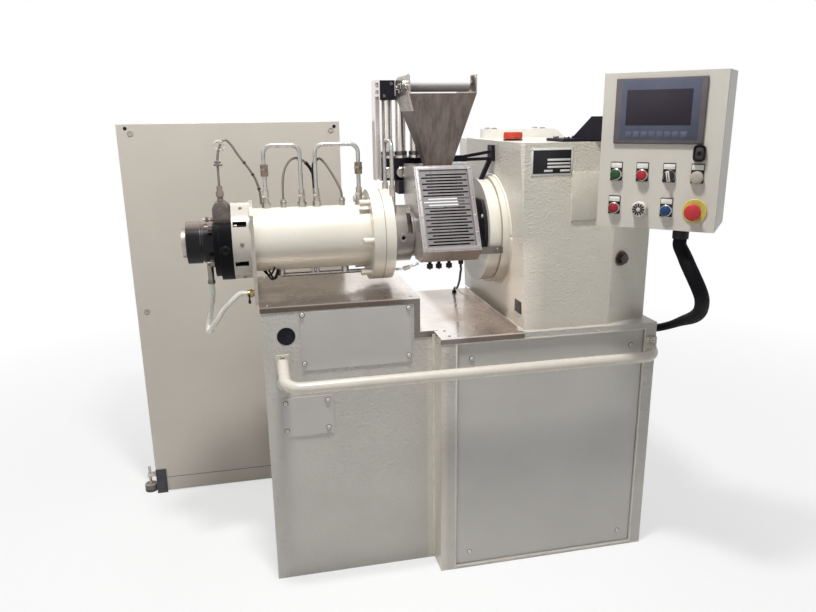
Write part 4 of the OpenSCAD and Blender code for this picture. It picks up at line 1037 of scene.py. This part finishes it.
placed("block_screws", dark_steel, socket_screw(0.0048, 0.0030),
    [((-0.166, 0.1032, 1.4020), FRONT), ((-0.144, 0.1032, 1.4370), FRONT)])

# ---- Gearbox ----
# Cast iron housing, filled and rolled with thick cream enamel that keeps the grain of the casting,
# with a cover, a name plate, a dark window, an oil plug and a red breather.
cast_paint = stuff("cast_paint", (214, 209, 196), (204, 199, 187), 0.36, size=4, grain=150, bump=0.9,
    deep=0.0014, coat=0.25,
    # the lower left face of the gearbox lighter and warmer: painted reflected light
    layers=[zone((0.10, -0.26, 0.74), (0.160, 0.26, 0.96), (248, 238, 224), 0.8, 0.06), hammered(240.0),
    dirt_and_shade(0.28, (164, 150, 126)), worn(0.4, (232, 227, 212), reach=0.006, size=30)])
dress(cast_paint, "gearbox")
smooth_paint = stuff("smooth_paint", (240, 238, 231), (234, 231, 224), 0.34, size=4, grain=300, bump=0.12,
    deep=0.0006, coat=0.3, layers=[dirt_and_shade(0.3, (160, 148, 126)), worn(0.3, (238, 234, 222))])
dress(smooth_paint, "rear_drive_housing")
# flat skim of filler on the raised cover, its lower edge left open as a thin dark line
cover_face = slab((0.2900, -0.2586, 1.0550), (0.4230, -0.2578, 1.1880), 0.0003)
finished(cover_face, "cover_face",
    stuff("cover_paint", (206, 201, 188), (198, 193, 181), 0.42, size=5, grain=200, bump=0.7, deep=0.0008,
    coat=0.15,
    layers=[hammered(240.0), seam(UP, 1.0556, 0.0016, (120, 104, 84), 0.7), dirt_and_shade(0.4, (150, 134, 108))]))
# bead of enamel where the flange meets the housing, whose left face leans
GEAR_FOOT, LEAN, BEAD_X = 0.744, 26 / 526, 0.164
bead_line = []
for k in range(121):
    _, y, z = about(0, 165.5, 3 * k)
    bead_line.append(Vector((BEAD_X - LEAN * (z - GEAR_FOOT), y, z)))
flange_bead = lead("flange_bead", bead_line, 0.0050, 10)
finished(flange_bead, "flange_bead", cream_enamel, smooth=0)
seal_black = stuff("seal_black", (36, 32, 38), (26, 23, 27), 0.45, shine=0.2, size=20, grain=500, bump=0.12,
    layers=[worn(0.5, (104, 96, 92), reach=0.002)])
dress(seal_black, "seal_plate")
placed("seal_plate_cap", white_plastic,
    turned([(0.0062, 0), (0.0062, 0.0016), (0.0048, 0.0026), (0.0016, 0.0030)], 24),
    [((0.0788, -0.112, 1.058), LEFT)])
# name plate: white aluminium sheet with a black field and plain white fields, four rivets
plate_white = stuff("plate_white", (224, 222, 218), (214, 211, 206), 0.3, size=30, grain=600, bump=0.05,
    layers=[dirt_and_shade(0.3, (140, 130, 116), reach=0.006)])
plate = [slab((0.1663, -0.2562, 1.1825), (0.2868, -0.2548, 1.2555), 0.0005, 2)]
for left, right, low, high in (
    (0.2130, 0.2800, 1.2216, 1.2272),
    (0.2130, 0.2800, 1.2120, 1.2166),
    (0.2130, 0.2800, 1.2026, 1.2078),
    (0.2510, 0.2800, 1.1922, 1.1976),
    (0.2040, 0.2290, 1.1922, 1.1976),
):
    plate.append(slab((left, -0.2570, low), (right, -0.2565, high), 0.0001))
finished(joined(plate), "blank_name_plate", plate_white)
field_black = stuff("field_black", (38, 38, 42), (28, 28, 31), 0.35, shine=0.2, size=30, grain=600,
    bump=0.05)
finished(slab((0.1715, -0.2566, 1.1876), (0.2816, -0.2560, 1.2504), 0.0002), "name_plate_field", field_black)
placed("name_plate_rivets", bright_steel,
    turned([(0.0016, 0), (0.0015, 0.0006), (0.0006, 0.0010)], 14),
    [((x, -0.2562, z), FRONT) for x in (0.1690, 0.2842) for z in (1.1850, 1.2530)])
# oil window low on the left face, and the ring of enamel round the oil plug
window = slab((0.1590, -0.2310, 0.7855), (0.1620, -0.1810, 0.8215), 0.0010, 2)
window_glass = stuff("window_glass", (86, 84, 80), (66, 64, 62), 0.42, size=40, grain=500, bump=0.1,
    shine=0.2)
finished(window, "oil_window", window_glass)
dress(stuff("plug_steel", (78, 70, 66), (56, 50, 47), 0.38, metallic=0.8, size=60, grain=600, bump=0.2,
    layers=[dirt_and_shade(0.5, (34, 28, 24), reach=0.008), worn(0.5, (140, 130, 120), reach=0.002)]), "drain_plug")
CHAMFER = math.atan2(45, 139)
PLUG = Vector((0.457, -0.255 + 32 * 45 / 139 * MM, 0.938))
PLUG_OUT = (math.sin(CHAMFER), -math.cos(CHAMFER), 0)
stained_paint = stuff("stained_paint", (158, 146, 128), (128, 116, 98), 0.5, size=50, grain=300, bump=0.3,
    deep=0.0006)
placed("oil_plug_ring", stained_paint,
    turned([(0.0190, -0.0010), (0.0240, -0.0006), (0.0236, 0.0008), (0.0215, 0.0013), (0.0190, 0.0012)], 40),
    [(PLUG, PLUG_OUT)])
# breather: red ribbed cap on a dark collar
BREATHER_X, BREATHER_Y, RIB_COUNT, RIB_RADIUS = 0.190, -0.050, 26, 0.0262
breather_red = stuff("breather_red", (206, 72, 48), (186, 58, 40), 0.4, size=40, grain=500, bump=0.1,
    layers=[dirt_and_shade(0.3, (90, 40, 30), reach=0.008)])
dress(breather_red, "breather_cap")
rib_places = []
for k in range(RIB_COUNT):
    a = math.tau * k / RIB_COUNT
    rib_places.append(((BREATHER_X + RIB_RADIUS * math.cos(a), BREATHER_Y + RIB_RADIUS * math.sin(a),
        1.2760), UP))
placed("breather_ribs", breather_red,
    slab((-0.0016, -0.0009, 0.0), (0.0016, 0.0009, 0.0170), 0.0006), rib_places)
placed("breather_collar", seal_black,
    turned([(0.0225, 0), (0.0285, 0.0004), (0.0285, 0.0034), (0.0225, 0.0044)], 40),
    [((BREATHER_X, BREATHER_Y, 1.2700), UP)])
# hexagon screws of the panel bracket
bracket_corners = [(x, y) for x in (0.282, 0.339) for y in (-0.222, -0.150)] + [(0.380, -0.150)]
placed("bracket_screws", dark_steel,
    turned([(0.0074, 0), (0.0080, 0.0006), (0.0080, 0.0050), (0.0070, 0.0060)], 6),
    [((x, y, 1.2780), UP) for x, y in bracket_corners])
# steel caps that close the four holes on top of the rear housing
placed("rear_housing_screws", zinc,
    turned([(0.0100, 0), (0.0100, 0.0020), (0.0080, 0.0034), (0.0020, 0.0040)], 28),
    [((x, y, 1.2970), UP) for x in (0.245, 0.420) for y in (0.275, 0.345)])

# ---- Operator panel ----
# Sheet steel box in warm grey powder coat with a fine orange peel, its door joint just behind the front.
PANEL = Matrix.Translation((0.308, -0.372, 0.0)) @ Matrix.Rotation(math.radians(-45), 4, "Z")
OUTWARD = PANEL.to_3x3() @ Vector((0, -1, 0))
DOOR = tuple(PANEL.to_3x3() @ Vector((0, 1, 0)))
door_level = Vector(DOOR).dot(PANEL.translation)
panel_paint = stuff("panel_paint", (198, 193, 182), (192, 187, 177), 0.42, size=5, grain=600, bump=0.12,
    deep=0.0005,
    layers=[seam(DOOR, door_level + 0.0045, 0.0060, (84, 78, 70), 0.7),
    dirt_and_shade(0.25, (140, 130, 114), reach=0.02), worn(0.2, (216, 212, 202), reach=0.002)])
dress(panel_paint, "panel_box")


def on_panel(piece):
    """Moves a piece made in the panel's own place onto the panel."""
    piece.matrix_world = PANEL @ piece.matrix_world
    return piece


def panel_row(steps, sides, spots, depth=0.0):
    """Turned pieces standing out of the panel front at each (across, up) spot."""
    return spread(turned(steps, sides), [(PANEL @ Vector((x * MM, -depth, z * MM)), OUTWARD)
        for x, z in spots])


# display: brown-grey frame, blue-grey front foil with eight blank keys, dark glass
bezel_grey = stuff("bezel_grey", (100, 94, 97), (90, 84, 88), 0.38, shine=0.25, size=20, grain=600,
    bump=0.06, layers=[worn(0.4, (120, 114, 118), reach=0.0015)])
bezel = joined([on_panel(slab((0.0320, -0.0060, 1.2715), (0.2460, 0.0, 1.4265), 0.0016, 3)),
    on_panel(slab((0.0330, -0.0030, 1.2700), (0.2450, 0.0, 1.2720), 0.0004))])
finished(bezel, "display_frame", bezel_grey, stands_for=["operator_display"])
foil_blue = stuff("foil_blue", (87, 91, 106), (78, 82, 97), 0.40, shine=0.2, size=14, grain=900, bump=0.04)
foil = on_panel(slab((0.0470, -0.0066, 1.2810), (0.2320, -0.0058, 1.4220), 0.0003))
finished(joined([foil]), "display_foil", foil_blue)
screen_glass = stuff("screen_glass", (58, 52, 60), (50, 45, 53), 0.32, size=5, grain=900, bump=0.02,
    shine=0.12)
screen = on_panel(slab((0.0600, -0.0070, 1.3147), (0.2150, -0.0064, 1.3987), 0.0002))
finished(joined([screen]), "display_screen", screen_glass)
key_blue = stuff("key_blue", (90, 94, 110), (80, 84, 100), 0.4, shine=0.25, size=30, grain=900, bump=0.05,
    layers=[worn(1.0, (62, 66, 84), reach=0.0010, size=3)])
FIRST_KEY, KEY_PITCH, HALF_KEY = 0.0695, 0.01876, 0.0074
keys = []
for k in range(8):
    x = FIRST_KEY + KEY_PITCH * k
    keys.append(on_panel(slab((x - HALF_KEY, -0.0071, 1.2862), (x + HALF_KEY, -0.0062, 1.3004), 0.0005)))
finished(joined(keys), "display_keys", key_blue)

# black legend holders, each with a blank white label on it
UP_ROW, LOW_ROW, COLUMNS = 1194, 1109, (45, 110, 175, 241)
holders, labels = [], []
for x, z in [(x, UP_ROW) for x in COLUMNS] + [(45, LOW_ROW), (175, LOW_ROW)]:
    holder = slab(((x - 16) * MM, -0.0020, (z - 16) * MM), ((x + 14) * MM, 0.0, (z + 31) * MM), 0.0012, 3)
    holders.append(on_panel(holder))
    label = slab(((x - 14.5) * MM, -0.0026, (z + 16.0) * MM), ((x + 12.5) * MM, -0.0019, (z + 28.5) * MM),
        0.0002)
    labels.append(on_panel(label))
legend_black = stuff("legend_black", (34, 32, 36), (26, 24, 28), 0.45, shine=0.15, size=40, grain=800,
    bump=0.08, layers=[worn(0.4, (96, 92, 94), reach=0.0012)])
finished(joined(holders), "legend_holders", legend_black, stands_for=["panel_controls"])
finished(joined(labels), "blank_labels", white_plastic)
# chromed rims, then the lenses and heads in their colours
chromed_rim = stuff("chromed_rim", (208, 205, 203), (176, 172, 169), 0.16, metallic=0.95, size=60, grain=900,
    bump=0.04)
push_spots = [(45, UP_ROW), (110, UP_ROW), (45, LOW_ROW), (175, LOW_ROW)]
rims = panel_row([(0.0142, 0.0018), (0.0146, 0.0030), (0.0146, 0.0090), (0.0140, 0.0112), (0.0132, 0.0118),
    (0.0127, 0.0106)], 40, push_spots)
selector_rim = panel_row([(0.0134, 0.0018), (0.0150, 0.0022), (0.0150, 0.0050), (0.0142, 0.0062),
    (0.0134, 0.0058)], 40, [(175, UP_ROW)])
finished(joined([rims, selector_rim]), "button_rims", chromed_rim)


low_dome = ((0.0125, 0.0104), (0.0123, 0.0120), (0.0108, 0.0132), (0.0060, 0.0140), (0.0012, 0.0141))


def lens(name, light, deep_tone, spots, steps=low_dome):
    """A push head, cap or disc in one colour."""
    paint = stuff(name + "_plastic", light, deep_tone, 0.34, size=90, grain=700, bump=0.04, coat=0.12,
        shine=0.25)
    return finished(panel_row(list(steps), 36, spots), name, paint)


lens("green_button", (22, 72, 32), (18, 60, 26), [(45, UP_ROW)])
lens("red_button", (168, 40, 44), (150, 32, 36), [(110, UP_ROW)])
lens("stop_button", (150, 34, 42), (128, 28, 34), [(45, LOW_ROW)])
lens("blue_button", (12, 58, 108), (10, 48, 92), [(175, LOW_ROW)])
lens("selector_body", (34, 32, 36), (26, 24, 28), [(175, UP_ROW)],
    ((0.0132, 0.0018), (0.0136, 0.0030), (0.0136, 0.0080), (0.0124, 0.0100), (0.0105, 0.0106),
    (0.0020, 0.0108)))
white_dome = ((0.0148, 0.0018), (0.0155, 0.0046), (0.0155, 0.0082), (0.0147, 0.0106), (0.0115, 0.0122),
    (0.0060, 0.0129), (0.0015, 0.0130))
lens("white_button", (172, 163, 152), (162, 153, 143), [(240, UP_ROW - 2)], white_dome)
# white bar of the selector, a black stripe along it
tilted = PANEL @ Matrix.Translation((0.1750, 0.0, 1.1935)) @ Matrix.Rotation(math.radians(-12), 4, "Y")
bar = slab((-0.0038, -0.0190, -0.0125), (0.0038, -0.0105, 0.0125), 0.0016, 3)
bar.matrix_world = tilted
finished(joined([bar]), "selector_bar", white_plastic)
stripe = slab((-0.0011, -0.0194, -0.0105), (0.0011, -0.0186, 0.0105), 0.0002)
stripe.matrix_world = tilted
finished(joined([stripe]), "selector_stripe", legend_black)
# sounder: a white cap with twelve slots that widen as they run out from the middle, the slots dark bars:
# painted shade in them
lens("sounder_cap", (206, 201, 193), (198, 193, 185), [(110, LOW_ROW)],
    ((0.0186, 0.0), (0.0190, 0.0040), (0.0190, 0.0120), (0.0180, 0.0160), (0.0168, 0.0172), (0.0050, 0.0174),
    (0.0040, 0.0186), (0.0010, 0.0188)))
SLOT_COUNT, SLOT_START, SLOT_SPREAD = 12, 0.0056, 80
slots = []
for k in range(SLOT_COUNT):
    a = math.tau * k / SLOT_COUNT
    slot = slab((SLOT_START, -0.0012, -0.0008), (0.0152, 0.0012, 0.0008), 0.0)
    for corner in slot.data.vertices:
        corner.co.y *= 1.0 + (corner.co.x - SLOT_START) * SLOT_SPREAD
    facing = Matrix.Rotation(math.pi / 2, 4, "X") @ Matrix.Rotation(a, 4, "Z")
    slot.matrix_world = PANEL @ Matrix.Translation((0.110, -0.0173, 1.109)) @ facing
    slots.append(slot)
finished(joined(slots), "sounder_slots", recess_shade_paint)
# emergency stop: yellow disc and red mushroom on a short neck
lens("stop_disc", (206, 188, 96), (196, 176, 84), [(241, LOW_ROW + 2)],
    ((0.0290, 0.0), (0.0290, 0.0020), (0.0282, 0.0030), (0.0150, 0.0032), (0.0140, 0.0030)))
lens("stop_neck", (150, 34, 40), (128, 28, 34), [(241, LOW_ROW + 1)],
    ((0.0140, 0.0028), (0.0140, 0.0200), (0.0120, 0.0210)))
lens("stop_mushroom", (188, 48, 54), (172, 40, 46), [(241, LOW_ROW + 1)],
    ((0.0140, 0.0195), (0.0188, 0.0200), (0.0198, 0.0216), (0.0200, 0.0250), (0.0192, 0.0298),
    (0.0170, 0.0324), (0.0120, 0.0336), (0.0020, 0.0340)))
# oblong black key switch cover with a round well, a dark disc: painted shade in the well
cover = slab((0.2270, -0.0080, 1.2290), (0.2550, 0.0, 1.2690), 0)
for edge in cover.data.edges:
    a, b = (cover.data.vertices[i].co for i in edge.vertices)
    edge.select = abs(a.y - b.y) > 0.001
for face in cover.data.polygons:
    face.select = False
bpy.ops.object.mode_set(mode="EDIT")
bpy.ops.mesh.select_mode(type="EDGE")
bpy.ops.mesh.bevel(offset=0.0105, segments=6, affect="EDGES")
bpy.ops.object.mode_set(mode="OBJECT")
rounded(cover, 0.0012, 2, 50)
cover_black = stuff("cover_black", (58, 55, 58), (48, 45, 48), 0.4, size=40, grain=800, bump=0.08,
    shine=0.25)
finished(joined([on_panel(cover)]), "key_switch_cover", cover_black)
well = panel_row([(0.0054, 0.0076), (0.0056, 0.0080), (0.0054, 0.0082), (0.0030, 0.0080), (0.0010, 0.0080)],
    32, [(241, 1249)])
finished(well, "key_switch_well", recess_shade_paint)
# glands: ribbed black nuts on the panel, the head, the guard and the tray
gland_black = stuff("gland_black", (34, 33, 38), (26, 25, 29), 0.5, size=30, grain=800, bump=0.12,
    shine=0.18, layers=[zone((-0.70, -0.03, 1.09), (-0.63, 0.03, 1.18), (150, 136, 124))])
dress(gland_black, "cable_glands")
placed("conduit_gland_nut", dark_plastic,
    turned([(0.0192, 0), (0.0206, 0.0010), (0.0206, 0.0120), (0.0192, 0.0134)], 10),
    [((0.492, -0.474, 1.0390), UP)])
placed("small_gland_nuts", dark_plastic,
    turned([(0.0066, 0), (0.0082, 0.0006), (0.0082, 0.0050), (0.0066, 0.0056)], 8),
    [((0.012, -0.118, 0.9250), UP), ((0.092, 0.224, 0.7480), UP)])

# ---- Control cabinet ----
# Sheet steel cabinet in warm grey powder coat on a plinth, with doors at the back, cable holes with
# plugs near the top corners, levelling feet at the left and rubber pads below.
CABINET_BACK = 0.7715
cabinet_paint = stuff("cabinet_paint", (196, 189, 178), (188, 181, 171), 0.44, size=2.5, grain=500,
    bump=0.10, deep=0.0005,
    layers=[seam(UP, 0.0595, 0.0036, (96, 90, 84), 0.8), dirt_and_shade(0.35, (136, 124, 106), reach=0.05),
    worn(0.25, (214, 209, 198), reach=0.003)]
    + [seam(RIGHT, x, 0.0024, (70, 66, 60), 0.8, (BACK, CABINET_BACK)) for x in (-0.980, -0.629, -0.278)]
    + [seam(UP, z, 0.0024, (70, 66, 60), 0.8, (BACK, CABINET_BACK)) for z in (0.075, 1.316)])
dress(cabinet_paint, "cabinet", "cabinet_plinth")
foot_rubber = stuff("foot_rubber", (58, 56, 60), (44, 42, 46), 0.55, size=30, grain=500, bump=0.2,
    layers=[dirt_and_shade(0.6, (120, 110, 98), reach=0.02),
    zone((-1.10, 0.40, 0.026), (-0.9925, 0.80, 0.20), (196, 190, 180)),
    zone((-1.10, 0.40, 0.010), (-0.9925, 0.80, 0.027), (120, 114, 106), 0.7)])
dress(foot_rubber, "cabinet_feet")
placed("cabinet_hole_grommets", hole_rubber,
    turned([(0.0058, -0.0010), (0.0060, 0.0002), (0.0056, 0.0006), (0.0015, 0.0006)], 28),
    [((x * MM, 0.422, z * MM), FRONT) for x, z in ((-964, 1315), (-284, 1312))])
placed("cabinet_plugs", stuff("plug_grey", (176, 168, 158), (150, 142, 132), 0.4, size=60, grain=500,
    bump=0.1, layers=[dirt_and_shade(0.7, (70, 64, 58), reach=0.004)]),
    turned([(0.0100, 0), (0.0100, 0.0010), (0.0086, 0.0022), (0.0074, 0.0022), (0.0066, 0.0010),
    (0.0010, 0.0010)], 28),
    [((x * MM, 0.422, z * MM), FRONT) for x, z in ((-949, 1299), (-296, 1300), (-959, 698), (-296, 698))])
